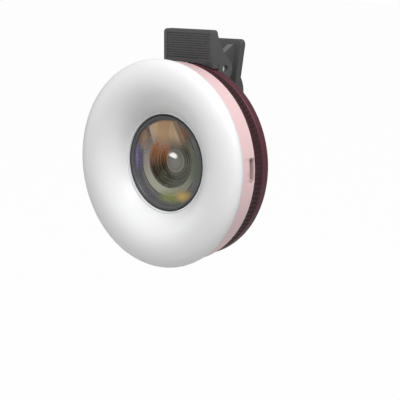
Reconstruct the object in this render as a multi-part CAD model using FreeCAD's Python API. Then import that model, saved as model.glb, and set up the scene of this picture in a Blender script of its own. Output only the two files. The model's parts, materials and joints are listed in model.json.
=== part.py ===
import FreeCAD, Part
import math
import os

# Clip-on ring light: a glowing ring around a wide lens, screwed through a close-up lens into
# the front jaw of a sprung clip.
#
# Frame, in millimetres: the origin is on the lens axis, in the plane of the front pad's
# gripping face. -Y runs forward, out of the lens. +X is right as the lit face is looked at,
# and +Z is up.

# Driving dimensions

# Fits and gaps
FIT = 0.05              # radial clearance of turning threads and of the pivot
SLIP = 0.10             # clearance of pieces that are dropped in and held
BODY_GAP = 0.30         # gap between pieces that move past each other
CUT_OVER = 1.0          # how far a cutting tool runs past the face that it opens

# Jaw stack behind the light
PAD_THICK = 1.0
JAW_THICK = 3.0
HOUSING_DEPTH = 8.0
RIM_DEPTH = 7.04

# Drum radius, and the steps from it out to the rim and the diffuser
BAND_R = 31.0
RIM_STEP = 1.0          # rim's back edge outside the drum
RIM_TAPER = 0.54        # rim's front edge outside its back edge
DIFFUSER_OVERHANG = 0.66
CROWN_INSET = 7.2       # crown's circle inside the diffuser's edge

# Rim and diffuser
RIM_WALL = 2.0
SEAM_BEVEL = 0.25
DIFFUSER_WALL = 1.6
DIFFUSER_TUCK = 0.35    # how far the diffuser's edge comes back in at the seam
DIFFUSER_SIDE = 1.1     # height of that edge
DIFFUSER_SKIRT = 2.0
CROWN_RISE = 4.96
CROWN_POINTS = 5
FUNNEL_ANGLE = 59.5     # how far round its ellipse the inner slope runs
WINDOW_DEPTH = 6.3      # from the crown down to the lip beside the lens
LIP_WIDTH = 0.7
LIP_DROP = 0.35

# Rear housing
HOUSING_WALL = 1.6
NECK_DEPTH = 1.4
NECK_STEP = 0.8
KNURL_DEPTH = 0.45
KNURL_LENGTH = 3.6
KNURL_TEETH = 120
BAND_BEVEL = 0.6
SPIGOT_LENGTH = 1.3
SLEEVE_WALL = 1.3

# Electronics
BOARD_THICK = 1.0
BOARD_BACK_STEP = 5.8   # board above the housing's floor
LED_COUNT = 36
LED_RING_STEP = 5.83    # outside the lens sleeve
LED_SIZE = (2.8, 0.8, 2.4)
SCREW_COUNT = 4
SCREW_RING_STEP = 2.33  # outside the lens sleeve
SCREW_R = 0.9
SCREW_HEAD_R = 1.7
SCREW_HEAD_THICK = 0.9
SCREW_LENGTH = 4.0
BOSS_WALL = 1.3
CHIP_SIZE = (4.0, 1.4, 5.0)
CHIP_PLACE = (2.13, 3.5)        # outside the sleeve, and above the lens axis
INDUCTOR_R = 2.4
INDUCTOR_HEIGHT = 2.6
INDUCTOR_STEP = 5.63
CAPACITOR_SIZE = (2.6, 1.0, 1.4)
CAPACITOR_STEP = 4.13
CAPACITOR_PLACES = (-5.5, -8.0)
BATTERY_ROOM = 3.73     # left free beside the battery's width
BATTERY_END_GAP = 0.228  # battery's corners inside the housing's wall
BATTERY_THICK = 4.2
BATTERY_ROUND = 0.8
SOCKET_WIDTH = 7.5
SOCKET_HEIGHT = 2.7
SOCKET_LENGTH = 6.0
SOCKET_SHEET = 0.35
SOCKET_SETBACK = 0.4    # mouth behind the rim's face
TONGUE_THICK = 0.5
PORT_ROUND = 0.9
BUTTON_LENGTH = 6.4
BUTTON_WIDTH = 2.2
BUTTON_PROUD = 0.5
BUTTON_FLANGE = 0.7
BUTTON_LIP = 0.35
BUTTON_TRAVEL = 0.4
BUTTON_FORWARD = 3.2    # button's centre in front of the rim's back edge
SWITCH_SIZE = (3.0, 4.0, 6.0)
PLUNGER_R = 0.8
PLUNGER_LENGTH = 0.9

# Wide lens
BARREL_RIM = 0.67       # barrel outside the front glass
BARREL_PROUD = 0.2
BARREL_RECESS = 0.2
BARREL_LIP = 0.57
FRONT_GLASS_R = 14.8
FRONT_GLASS_FLAT = 0.8
FRONT_GLASS_THICK = 1.8
FRONT_GLASS_RISE = 1.5
FRONT_RING_THICK = 0.7
FRONT_RING_WIDTH = 0.7
HOLLOW_R = 10.2
HOLLOW_DEPTH = 2.0
BAFFLE_INSET = 1.3      # baffle inside the front glass's edge
BAFFLE_DEPTH = 2.9
BAFFLE_STEPS = ((10.2, 0.5), (7.8, 1.0), (7.0, 0.7))
BAFFLE_STOP_R = 6.3
REAR_GLASS_R = 9.2
REAR_GLASS_THICK = 1.3
REAR_GLASS_RISE = 0.6
SEAT_LIP_R = 8.2
SEAT_LIP_THICK = 0.5

# Close-up lens
FRONT_THREAD_R = 9.6
FRONT_THREAD_LENGTH = 2.8
FLANGE_R = 11.2
FLANGE_THICK = 2.55
JAW_THREAD_R = 8.5
MACRO_BORE_R = 7.2
MACRO_SEAT_R = 6.4
MACRO_STOP_R = 3.6
MACRO_SEAT_DEPTH = 2.6
MACRO_GLASS_THICK = 1.4
MACRO_GLASS_RISE = 0.5
MACRO_RING_THICK = 0.6
MACRO_SETBACK = 0.9     # back of the barrel in front of the gripping plane

# Clip
CLIP_WIDTH = 20.5
CHEEK_THICK = 2.0
CHEEK_GAP = 0.25
EYE_R = 13.0
PAD_INSET = 0.6         # pad inside the eye's edge
PAD_HOLE_R = 9.6
LEVER_THICK = 2.6
LEVER_FORWARD = 2.9     # front lever's face in front of the jaw's front face
LEVER_HEIGHT = 10.4
LEVER_CORNER = 1.3
LEVER_EDGE = 0.5
CHEEK_SHOULDER = 1.6    # top of the cheeks below the top of the lever
CHEEK_KNEE = (2.3, 4.0)  # behind the jaw's front face, and above the drum
PIVOT_DROP = 1.7        # pivot below the top of the drum
BOSS_R = 3.4
PIN_R = 1.25
PIN_DOME = 0.35
PIN_SETBACK = 0.35
EAR_THICK = 2.0
EAR_R = 2.6
RIB_PITCH = 0.65
RIB_GROOVE = 0.3
RIB_DEPTH = 0.22
RIB_MARGIN = 1.1
JAW_FOOT_ROUND = 1.0

# Rear arm, measured back and up from the pivot
REAR_THICK = 2.5
REAR_TOP = (10.4, 8.9)
REAR_WAIST = (7.8, -3.2)
REAR_BULGE = (9.0, -6.0)
REAR_BEND = (7.8, -12.6)
REAR_KNEE_Z = 8.5
REAR_TIP_Z = -11.5
REAR_TIP_ROUND = 6.0
EAR_TOP = (6.4, 7.4)
EAR_FRONT = (2.2, 5.3)
EAR_FOOT = (5.8, -5.0)
REAR_PAD_WIDTH = 15.0
REAR_PAD_ROUND = 4.0
REAR_PAD_MARGIN = 1.0

# Torsion spring
WIRE_R = 0.45
COIL_CLEARANCE = 0.30   # inside the coil, around the pin
COIL_TURNS = 4
COIL_PITCH = 1.15
FRONT_LEG = 5.6
REAR_LEG = 6.6
FRONT_LEG_ANGLE = -78.0
REAR_LEG_ANGLE = 45.0

# Places that follow from them

JAW_BACK = -PAD_THICK
JAW_FRONT = JAW_BACK - JAW_THICK
HOUSING_BACK = JAW_FRONT - BODY_GAP
FLOOR = HOUSING_BACK - HOUSING_WALL
RIM_BACK = HOUSING_BACK - HOUSING_DEPTH
RIM_FRONT = RIM_BACK - RIM_DEPTH
CROWN_Y = RIM_FRONT - CROWN_RISE
LIP_Y = CROWN_Y + WINDOW_DEPTH
WINDOW_Y = LIP_Y + LIP_DROP

RIM_R_BACK = BAND_R + RIM_STEP
RIM_R_FRONT = RIM_R_BACK + RIM_TAPER
DIFFUSER_R = RIM_R_FRONT + DIFFUSER_OVERHANG
CROWN_R = DIFFUSER_R - CROWN_INSET
RIM_BORE_R = RIM_R_FRONT - RIM_WALL
BARREL_R = FRONT_GLASS_R + BARREL_RIM
BAFFLE_R = FRONT_GLASS_R - BAFFLE_INSET
HOUSING_BORE_R = BAND_R - NECK_STEP - HOUSING_WALL
SLEEVE_BORE_R = BARREL_R + SLIP
SLEEVE_R = SLEEVE_BORE_R + SLEEVE_WALL
SPIGOT_FRONT = RIM_BACK - SPIGOT_LENGTH
LED_RING_R = SLEEVE_R + LED_RING_STEP
SCREW_RING_R = SLEEVE_R + SCREW_RING_STEP
BATTERY_WIDTH = HOUSING_BORE_R - SLEEVE_R - BATTERY_ROOM
BATTERY_IN = SLEEVE_R + 2 * BODY_GAP
BATTERY_OUT = BATTERY_IN + BATTERY_WIDTH
BATTERY_LENGTH = 2 * math.sqrt((HOUSING_BORE_R - BATTERY_END_GAP) ** 2 - BATTERY_OUT ** 2)
BOARD_BACK = FLOOR - BOARD_BACK_STEP
BOARD_FRONT = BOARD_BACK - BOARD_THICK
PORT_Y = BOARD_FRONT - SOCKET_HEIGHT / 2
BUTTON_Y = RIM_BACK - BUTTON_FORWARD
BUTTON_BACK_X = RIM_BORE_R - 2 * BUTTON_FLANGE + BODY_GAP

BARREL_FRONT = WINDOW_Y - BARREL_PROUD
BARREL_BACK = HOUSING_BACK - BARREL_RECESS
GLASS_FRONT = BARREL_FRONT + FRONT_RING_THICK + SLIP
GLASS_BACK = GLASS_FRONT + FRONT_GLASS_THICK
BAFFLE_FRONT = GLASS_BACK + SLIP
BAFFLE_BACK = BAFFLE_FRONT + BAFFLE_DEPTH

MACRO_BACK = -MACRO_SETBACK
FLANGE_BACK = JAW_FRONT - FIT
FLANGE_FRONT = FLANGE_BACK - FLANGE_THICK
MACRO_FRONT = FLANGE_FRONT - FRONT_THREAD_LENGTH
RECESS_FLOOR = FLANGE_FRONT - BODY_GAP
SEAT_BACK = MACRO_FRONT - BODY_GAP
SEAT_FRONT = SEAT_BACK - SEAT_LIP_THICK
MACRO_GLASS_FRONT = MACRO_BACK - MACRO_SEAT_DEPTH + SLIP
MACRO_GLASS_BACK = MACRO_GLASS_FRONT + MACRO_GLASS_THICK

HALF_WIDTH = CLIP_WIDTH / 2
PAD_R = EYE_R - PAD_INSET
PIVOT_Z = BAND_R - PIVOT_DROP
CHEEK_INSIDE = HALF_WIDTH - CHEEK_THICK
EAR_OUTSIDE = CHEEK_INSIDE - CHEEK_GAP
EAR_INSIDE = EAR_OUTSIDE - EAR_THICK
PIVOT_Y = JAW_FRONT + BOSS_R
JAW_TOP = PIVOT_Z - BOSS_R - SLIP
LEVER_FRONT = JAW_FRONT - LEVER_FORWARD
LEVER_BACK = LEVER_FRONT + LEVER_THICK
LEVER_BOTTOM = BAND_R + BODY_GAP + SLIP
LEVER_TOP = LEVER_BOTTOM + LEVER_HEIGHT
REAR_SEAT_Y = BODY_GAP + PAD_THICK

ORIGIN = FreeCAD.Vector(0, 0, 0)
X_AXIS = FreeCAD.Vector(1, 0, 0)
Y_AXIS = FreeCAD.Vector(0, 1, 0)


# Helpers

def lathe_point(radius, y):
    return FreeCAD.Vector(radius, y, 0)


def line(start, end):
    return Part.LineSegment(lathe_point(*start), lathe_point(*end)).toShape()


def lines(points):
    return [line(a, b) for a, b in zip(points, points[1:])]


def turned_edges(edges):
    """Solid of revolution about the lens axis from a closed run of edges."""
    outline = Part.Wire(Part.__sortEdges__(edges))
    return Part.Face(outline).revolve(ORIGIN, Y_AXIS, 360)


def turned(points):
    """Solid of revolution about the lens axis from (radius, y) corners."""
    return turned_edges(lines(points + points[:1]))


def block(low, high):
    size = [b - a for a, b in zip(low, high)]
    return Part.makeBox(size[0], size[1], size[2], FreeCAD.Vector(*low))


def rod_y(radius, y0, y1, x=0.0, z=0.0):
    return Part.makeCylinder(radius, y1 - y0, FreeCAD.Vector(x, y0, z), Y_AXIS)


def rod_x(radius, x0, x1, y, z):
    return Part.makeCylinder(radius, x1 - x0, FreeCAD.Vector(x0, y, z), X_AXIS)


def slab(points, x0, x1):
    """Prism along X from (y, z) corners."""
    corners = [FreeCAD.Vector(x0, y, z) for y, z in points]
    outline = Part.makePolygon(corners + corners[:1])
    return Part.Face(outline).extrude(FreeCAD.Vector(x1 - x0, 0, 0))


def straight_edges(shape, axis, test):
    """Straight edges along an axis whose middle passes the test."""
    found = []
    for edge in shape.Edges:
        run = edge.Vertexes[-1].Point - edge.Vertexes[0].Point
        if run.Length < 1e-6:
            continue
        along = abs(run.dot(axis)) / run.Length
        if along > 0.9999 and edge.Curve.TypeId == "Part::GeomLine" and test(edge.CenterOfMass):
            found.append(edge)
    return found


def rounded_bar(x0, x1, y, width, height, radius):
    """Bar along X with rounded corners, centred on y and on the lens axis."""
    bar = block((x0, y - width / 2, -height / 2), (x1, y + width / 2, height / 2))
    return bar.makeFillet(radius, straight_edges(bar, X_AXIS, lambda p: True))


def around(shape, count, start=0.0):
    """Copies of a shape spaced evenly about the lens axis."""
    copies = []
    for i in range(count):
        copy = shape.copy()
        copy.rotate(ORIGIN, Y_AXIS, start + 360.0 * i / count)
        copies.append(copy)
    return copies


def dome_edge(chord, y_rim, rise):
    """Arc from the axis to the radius chord. A positive rise bulges forward."""
    radius = (chord ** 2 + rise ** 2) / (2 * abs(rise))
    drop = radius - math.sqrt(radius ** 2 - chord ** 2 / 4)
    apex = y_rim - rise
    middle = apex + math.copysign(drop, rise)
    points = [lathe_point(0, apex), lathe_point(chord / 2, middle), lathe_point(chord, y_rim)]
    return Part.Arc(*points).toShape()


def glass(edge_r, front, back, front_chord, front_rise, back_chord, back_rise):
    """Lens element with a plain edge. Rises are positive towards the front."""
    rim = lines([(front_chord, front), (edge_r, front), (edge_r, back), (back_chord, back)])
    axis = line((0, front - front_rise), (0, back - back_rise))
    edges = rim + [dome_edge(front_chord, front, front_rise)]
    return turned_edges(edges + [dome_edge(back_chord, back, back_rise), axis])


# Light unit

def diffuser():
    """White ring: rounded crown, funnel down to the lens, and a skirt inside the rim."""
    quarter = [math.radians(90.0 * i / CROWN_POINTS) for i in range(CROWN_POINTS + 1)]
    side_y = RIM_FRONT - DIFFUSER_SIDE
    outer_a = DIFFUSER_R - CROWN_R
    outer_b = side_y - CROWN_Y
    lip_r = SLEEVE_BORE_R + LIP_WIDTH
    inner_a = (CROWN_R - lip_r) / math.sin(math.radians(FUNNEL_ANGLE))
    inner_b = WINDOW_DEPTH / (1 - math.cos(math.radians(FUNNEL_ANGLE)))
    crown = [(CROWN_R + outer_a * math.sin(t), CROWN_Y + outer_b * (1 - math.cos(t)))
             for t in reversed(quarter)]
    funnel = [(CROWN_R - inner_a * math.sin(t), CROWN_Y + inner_b * (1 - math.cos(t)))
              for t in [q * FUNNEL_ANGLE / 90.0 for q in quarter[1:]]]
    foot = (DIFFUSER_R - DIFFUSER_TUCK, RIM_FRONT)
    outside = Part.BSplineCurve()
    outside.interpolate([lathe_point(*p) for p in [foot] + crown + funnel])

    inside_points = []
    for place in crown + funnel:
        point = lathe_point(*place)
        along = outside.tangent(outside.parameter(point))[0]
        inside_points.append(point + FreeCAD.Vector(along.y, -along.x, 0) * DIFFUSER_WALL)
    inside = Part.BSplineCurve()
    inside.interpolate(inside_points)
    shoulder = inside_points[0]
    throat = inside_points[-1]

    skirt_r = RIM_BORE_R - SLIP
    skirt_back = RIM_FRONT + DIFFUSER_SKIRT
    tube_back = SPIGOT_FRONT - BODY_GAP
    edges = [outside.toShape(), inside.toShape()]
    edges += lines([foot, (skirt_r, RIM_FRONT), (skirt_r, skirt_back),
                    (skirt_r - DIFFUSER_WALL, skirt_back),
                    (skirt_r - DIFFUSER_WALL, shoulder.y), (shoulder.x, shoulder.y)])
    edges += lines([(throat.x, throat.y), (SLEEVE_R, throat.y + SLEEVE_WALL),
                    (SLEEVE_R, tube_back), (SLEEVE_BORE_R, tube_back),
                    (SLEEVE_BORE_R, WINDOW_Y), funnel[-1]])
    return turned_edges(edges)


def rim_housing():
    """Pink band with the charging port and the button's slot."""
    band = turned([
        (RIM_R_FRONT, RIM_FRONT + SEAM_BEVEL), (RIM_R_FRONT - SEAM_BEVEL, RIM_FRONT),
        (RIM_BORE_R, RIM_FRONT), (RIM_BORE_R, RIM_BACK),
        (RIM_R_BACK - SEAM_BEVEL, RIM_BACK), (RIM_R_BACK, RIM_BACK - SEAM_BEVEL)])
    port = rounded_bar(RIM_BORE_R - 2 * CUT_OVER, RIM_R_FRONT + CUT_OVER, PORT_Y,
                       SOCKET_HEIGHT + 2 * SLIP, SOCKET_WIDTH + 2 * SLIP, PORT_ROUND)
    slot = rounded_bar(-RIM_R_FRONT - CUT_OVER, -RIM_BORE_R + 2 * CUT_OVER, BUTTON_Y,
                       BUTTON_WIDTH + 2 * SLIP, BUTTON_LENGTH + 2 * SLIP, BUTTON_WIDTH / 2)
    return band.cut(port).cut(slot)


def knurl_ring(y0, y1):
    """Ring of V-shaped teeth, with its bore inside the housing's wall."""
    tips = []
    for i in range(2 * KNURL_TEETH + 1):
        angle = math.pi * i / KNURL_TEETH
        radius = BAND_R - KNURL_DEPTH * (i % 2)
        tips.append(FreeCAD.Vector(radius * math.cos(angle), y0, radius * math.sin(angle)))
    teeth = Part.Face(Part.makePolygon(tips)).extrude(FreeCAD.Vector(0, y1 - y0, 0))
    bore = rod_y(HOUSING_BORE_R + HOUSING_WALL / 2, y0 - CUT_OVER, y1 + CUT_OVER)
    return teeth.cut(bore)


def rear_housing():
    """Burgundy drum with a knurled band, a sleeve for the lens and bosses for the board."""
    knurl_front = RIM_BACK + NECK_DEPTH
    knurl_back = knurl_front + KNURL_LENGTH
    neck_r = BAND_R - NECK_STEP
    spigot_r = RIM_BORE_R - SLIP
    drum = turned([
        (spigot_r, SPIGOT_FRONT), (spigot_r, RIM_BACK), (neck_r, RIM_BACK),
        (neck_r, knurl_back), (BAND_R, knurl_back),
        (BAND_R, HOUSING_BACK - BAND_BEVEL), (BAND_R - BAND_BEVEL, HOUSING_BACK),
        (SLEEVE_BORE_R, HOUSING_BACK), (SLEEVE_BORE_R, SPIGOT_FRONT),
        (SLEEVE_R, SPIGOT_FRONT), (SLEEVE_R, FLOOR),
        (HOUSING_BORE_R, FLOOR), (HOUSING_BORE_R, SPIGOT_FRONT)])
    drum = drum.fuse(knurl_ring(knurl_front, knurl_back))
    boss = rod_y(SCREW_R + BOSS_WALL, BOARD_BACK, FLOOR + SLIP, x=SCREW_RING_R)
    drum = drum.fuse(around(boss, SCREW_COUNT, 45.0))
    pilot = rod_y(SCREW_R + FIT, BOARD_BACK - CUT_OVER, BOARD_BACK + SCREW_LENGTH, x=SCREW_RING_R)
    drum = drum.cut(around(pilot, SCREW_COUNT, 45.0))
    notch = block((HOUSING_BORE_R - CUT_OVER, SPIGOT_FRONT - CUT_OVER, -SOCKET_WIDTH / 2 - SLIP),
                  (spigot_r + CUT_OVER, BOARD_FRONT + SLIP, SOCKET_WIDTH / 2 + SLIP))
    return drum.cut(notch).removeSplitter()


def led_board():
    board = turned([(SLEEVE_R + SLIP, BOARD_FRONT), (HOUSING_BORE_R - SLIP, BOARD_FRONT),
                    (HOUSING_BORE_R - SLIP, BOARD_BACK), (SLEEVE_R + SLIP, BOARD_BACK)])
    hole = rod_y(SCREW_R + SLIP, BOARD_FRONT - CUT_OVER, BOARD_BACK + CUT_OVER, x=SCREW_RING_R)
    return board.cut(around(hole, SCREW_COUNT, 45.0))


def leds():
    radial, thick, wide = LED_SIZE
    led = block((LED_RING_R - radial / 2, BOARD_FRONT - thick, -wide / 2),
                (LED_RING_R + radial / 2, BOARD_FRONT, wide / 2))
    return Part.makeCompound(around(led, LED_COUNT, 180.0 / LED_COUNT))


def on_board(x, z, size):
    """Block on the back of the board, from its lower left corner."""
    return block((x, BOARD_BACK, z), (x + size[0], BOARD_BACK + size[1], z + size[2]))


def board_parts():
    """Charging chip, inductor and a pair of capacitors on the back of the board."""
    chip = on_board(SLEEVE_R + CHIP_PLACE[0], CHIP_PLACE[1], CHIP_SIZE)
    coil = rod_y(INDUCTOR_R, BOARD_BACK, BOARD_BACK + INDUCTOR_HEIGHT, x=SLEEVE_R + INDUCTOR_STEP)
    capacitors = [on_board(SLEEVE_R + CAPACITOR_STEP, z, CAPACITOR_SIZE) for z in CAPACITOR_PLACES]
    return Part.makeCompound([chip, coil] + capacitors)


def board_screws():
    shank = rod_y(SCREW_R, BOARD_FRONT, BOARD_BACK + SCREW_LENGTH - SLIP, x=SCREW_RING_R)
    head = rod_y(SCREW_HEAD_R, BOARD_FRONT - SCREW_HEAD_THICK, BOARD_FRONT, x=SCREW_RING_R)
    socket = block((SCREW_RING_R - SCREW_HEAD_R / 2, BOARD_FRONT - SCREW_HEAD_THICK, -SLIP),
                   (SCREW_RING_R + SCREW_HEAD_R / 2, BOARD_FRONT - SCREW_HEAD_THICK / 2, SLIP))
    screw = shank.fuse(head).cut(socket).removeSplitter()
    return Part.makeCompound(around(screw, SCREW_COUNT, 45.0))


def battery():
    pouch = block((-BATTERY_LENGTH / 2, FLOOR - BATTERY_THICK, -BATTERY_OUT),
                  (BATTERY_LENGTH / 2, FLOOR, -BATTERY_IN))
    return pouch.makeFillet(BATTERY_ROUND, straight_edges(pouch, X_AXIS, lambda p: True))


def charging_socket():
    """Folded steel shell with the contact tongue in its mouth."""
    mouth = RIM_R_BACK - SOCKET_SETBACK
    back = mouth - SOCKET_LENGTH
    shell = block((back, PORT_Y - SOCKET_HEIGHT / 2, -SOCKET_WIDTH / 2),
                  (mouth, PORT_Y + SOCKET_HEIGHT / 2, SOCKET_WIDTH / 2))
    shell = shell.makeFillet(PORT_ROUND, straight_edges(shell, X_AXIS, lambda p: True))
    inner_height = SOCKET_HEIGHT - 2 * SOCKET_SHEET
    inner_width = SOCKET_WIDTH - 2 * SOCKET_SHEET
    room = rounded_bar(back + 2 * SOCKET_SHEET, mouth + CUT_OVER, PORT_Y, inner_height,
                       inner_width, PORT_ROUND - SOCKET_SHEET)
    tongue = block((back + SOCKET_SHEET, PORT_Y - TONGUE_THICK / 2, -inner_width / 3),
                   (mouth - 2 * SOCKET_SHEET, PORT_Y + TONGUE_THICK / 2, inner_width / 3))
    return shell.cut(room).fuse(tongue).removeSplitter()


def power_button():
    """Rounded bar that stands out of the rim, with a lip that keeps it in."""
    face = -(RIM_R_BACK + (RIM_R_FRONT - RIM_R_BACK) * BUTTON_FORWARD / RIM_DEPTH + BUTTON_PROUD)
    lip_x = -BUTTON_BACK_X - BUTTON_FLANGE
    stem = rounded_bar(face, lip_x + SLIP, BUTTON_Y, BUTTON_WIDTH, BUTTON_LENGTH, BUTTON_WIDTH / 2 - SLIP)
    rims = [e for e in stem.Edges if e.BoundBox.XMax < face + 1e-3]
    stem = stem.makeFillet(BUTTON_PROUD / 2, rims)
    lip = rounded_bar(lip_x, -BUTTON_BACK_X, BUTTON_Y, BUTTON_WIDTH + 2 * BUTTON_LIP,
                      BUTTON_LENGTH + 2 * BUTTON_LIP, BUTTON_WIDTH / 2)
    return stem.fuse(lip).removeSplitter()


def tact_switch():
    depth, height, width = SWITCH_SIZE
    plunger_tip = -BUTTON_BACK_X + BUTTON_TRAVEL + SLIP
    front_x = plunger_tip + PLUNGER_LENGTH
    body = block((front_x, BOARD_FRONT - height, -width / 2), (front_x + depth, BOARD_FRONT, width / 2))
    plunger = rod_x(PLUNGER_R, plunger_tip, front_x, BUTTON_Y, 0)
    return body.fuse(plunger).removeSplitter()


# Wide lens

def wide_lens_barrel():
    glass_bore = FRONT_GLASS_R + SLIP
    rear_bore = REAR_GLASS_R + SLIP
    return turned([
        (BARREL_R, BARREL_FRONT), (BARREL_R - BARREL_LIP, BARREL_FRONT),
        (glass_bore, GLASS_FRONT), (glass_bore, GLASS_BACK),
        (BAFFLE_R + SLIP, GLASS_BACK), (BAFFLE_R + SLIP, BAFFLE_BACK),
        (rear_bore, BAFFLE_BACK), (rear_bore, SEAT_FRONT), (SEAT_LIP_R, SEAT_FRONT),
        (SEAT_LIP_R, SEAT_BACK), (FRONT_THREAD_R + FIT, SEAT_BACK),
        (FRONT_THREAD_R + FIT, RECESS_FLOOR), (FLANGE_R + FIT, RECESS_FLOOR),
        (FLANGE_R + FIT, BARREL_BACK), (BARREL_R, BARREL_BACK)])


def wide_front_glass():
    chord = FRONT_GLASS_R - FRONT_GLASS_FLAT
    return glass(FRONT_GLASS_R, GLASS_FRONT, GLASS_BACK, chord, FRONT_GLASS_RISE,
                 HOLLOW_R, HOLLOW_DEPTH)


def wide_front_ring():
    outside = BARREL_R - BARREL_LIP - SLIP
    inside = FRONT_GLASS_R - FRONT_RING_WIDTH
    front = GLASS_FRONT - FRONT_RING_THICK
    return turned([(outside, front), (inside + SLIP, front), (inside, front + SLIP),
                   (inside, GLASS_FRONT), (outside, GLASS_FRONT)])


def lens_baffle():
    """Stepped ring that shows through the front glass."""
    points = [(BAFFLE_R, BAFFLE_BACK), (BAFFLE_R, BAFFLE_FRONT)]
    depth = BAFFLE_FRONT
    for radius, drop in BAFFLE_STEPS:
        points += [(radius, depth), (radius, depth + drop)]
        depth += drop
    points += [(BAFFLE_STOP_R, depth), (BAFFLE_STOP_R, BAFFLE_BACK)]
    return turned(points)


def wide_rear_glass():
    front = SEAT_FRONT - REAR_GLASS_THICK
    return glass(REAR_GLASS_R, front, SEAT_FRONT, SEAT_LIP_R, REAR_GLASS_RISE,
                 SEAT_LIP_R, -REAR_GLASS_RISE / 2)


# Close-up lens

def macro_barrel():
    seat = MACRO_BACK - MACRO_SEAT_DEPTH
    stop = MACRO_FRONT + (MACRO_SEAT_R - MACRO_STOP_R) / 2
    return turned([
        (MACRO_STOP_R, MACRO_FRONT), (FRONT_THREAD_R, MACRO_FRONT),
        (FRONT_THREAD_R, FLANGE_FRONT), (FLANGE_R, FLANGE_FRONT), (FLANGE_R, FLANGE_BACK),
        (JAW_THREAD_R, FLANGE_BACK), (JAW_THREAD_R, MACRO_BACK), (MACRO_BORE_R, MACRO_BACK),
        (MACRO_BORE_R, seat), (MACRO_SEAT_R, seat), (MACRO_SEAT_R, stop),
        (MACRO_STOP_R, MACRO_FRONT + SLIP)])


def macro_glass():
    edge = MACRO_BORE_R - FIT
    return glass(edge, MACRO_GLASS_FRONT, MACRO_GLASS_BACK, MACRO_SEAT_R, MACRO_GLASS_RISE,
                 MACRO_SEAT_R - SLIP, -MACRO_GLASS_RISE)


def macro_ring():
    outside = MACRO_BORE_R - FIT
    return turned([(outside, MACRO_GLASS_BACK), (outside, MACRO_GLASS_BACK + MACRO_RING_THICK),
                   (MACRO_SEAT_R + SLIP, MACRO_GLASS_BACK + MACRO_RING_THICK),
                   (MACRO_SEAT_R, MACRO_GLASS_BACK)])


# Clip

def rib_grooves(face_y, lean, z_low, z_high):
    """Cutters for level finger ribs on a lever's face."""
    half = HALF_WIDTH - RIB_MARGIN
    count = int((z_high - z_low - RIB_MARGIN) / RIB_PITCH)
    cutters = []
    for i in range(count):
        z = z_high - RIB_MARGIN - i * RIB_PITCH
        y = face_y + lean * (z - z_high)
        cutters.append(block((-half, y - RIB_DEPTH, z - RIB_GROOVE), (half, y + RIB_DEPTH, z)))
    return cutters


def cheek(x0, x1):
    """Side wall that joins the front lever to the jaw and carries the pin."""
    knee = (JAW_FRONT + CHEEK_KNEE[0], BAND_R + CHEEK_KNEE[1])
    slope = math.radians(42.0)
    boss_point = (PIVOT_Y + BOSS_R * math.cos(slope), PIVOT_Z + BOSS_R * math.sin(slope))
    shoulder_z = LEVER_TOP - CHEEK_SHOULDER
    wall = slab([
        (LEVER_FRONT, LEVER_BOTTOM), (LEVER_FRONT, shoulder_z), (LEVER_BACK, shoulder_z),
        knee, boss_point, (PIVOT_Y, PIVOT_Z), (JAW_BACK, PIVOT_Z - BOSS_R),
        (JAW_BACK, JAW_TOP - BOSS_R), (JAW_FRONT, JAW_TOP - BOSS_R), (JAW_FRONT, LEVER_BOTTOM)],
        x0, x1)
    return wall.fuse(rod_x(BOSS_R, x0, x1, PIVOT_Y, PIVOT_Z)).removeSplitter()


def front_clip_arm():
    """Ribbed lever, two cheeks with the pivot bosses, and the jaw with the lens eye."""
    lever = block((-HALF_WIDTH, LEVER_FRONT, LEVER_BOTTOM), (HALF_WIDTH, LEVER_BACK, LEVER_TOP))
    plate = block((-HALF_WIDTH, JAW_FRONT, 0), (HALF_WIDTH, JAW_BACK, JAW_TOP))
    eye = rod_y(EYE_R, JAW_FRONT, JAW_BACK)
    arm = lever.fuse([cheek(-HALF_WIDTH, -CHEEK_INSIDE), cheek(CHEEK_INSIDE, HALF_WIDTH), plate, eye])
    arm = arm.removeSplitter()
    top_corners = straight_edges(arm, Y_AXIS, lambda p: p.z > LEVER_TOP - SLIP)
    arm = arm.makeFillet(LEVER_CORNER, top_corners)
    front_edges = [e for e in arm.Edges if e.BoundBox.YMax < LEVER_FRONT + 1e-3
                   and e.BoundBox.ZMax > LEVER_BOTTOM + SLIP]
    arm = arm.makeFillet(LEVER_EDGE, front_edges)
    thread = rod_y(JAW_THREAD_R + FIT, JAW_FRONT - CUT_OVER, JAW_BACK + CUT_OVER)
    hole = rod_x(PIN_R + FIT, -HALF_WIDTH - CUT_OVER, HALF_WIDTH + CUT_OVER, PIVOT_Y, PIVOT_Z)
    arm = arm.cut([thread, hole])
    return arm.cut(rib_grooves(LEVER_FRONT, 0.0, LEVER_BOTTOM, LEVER_TOP))


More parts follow.
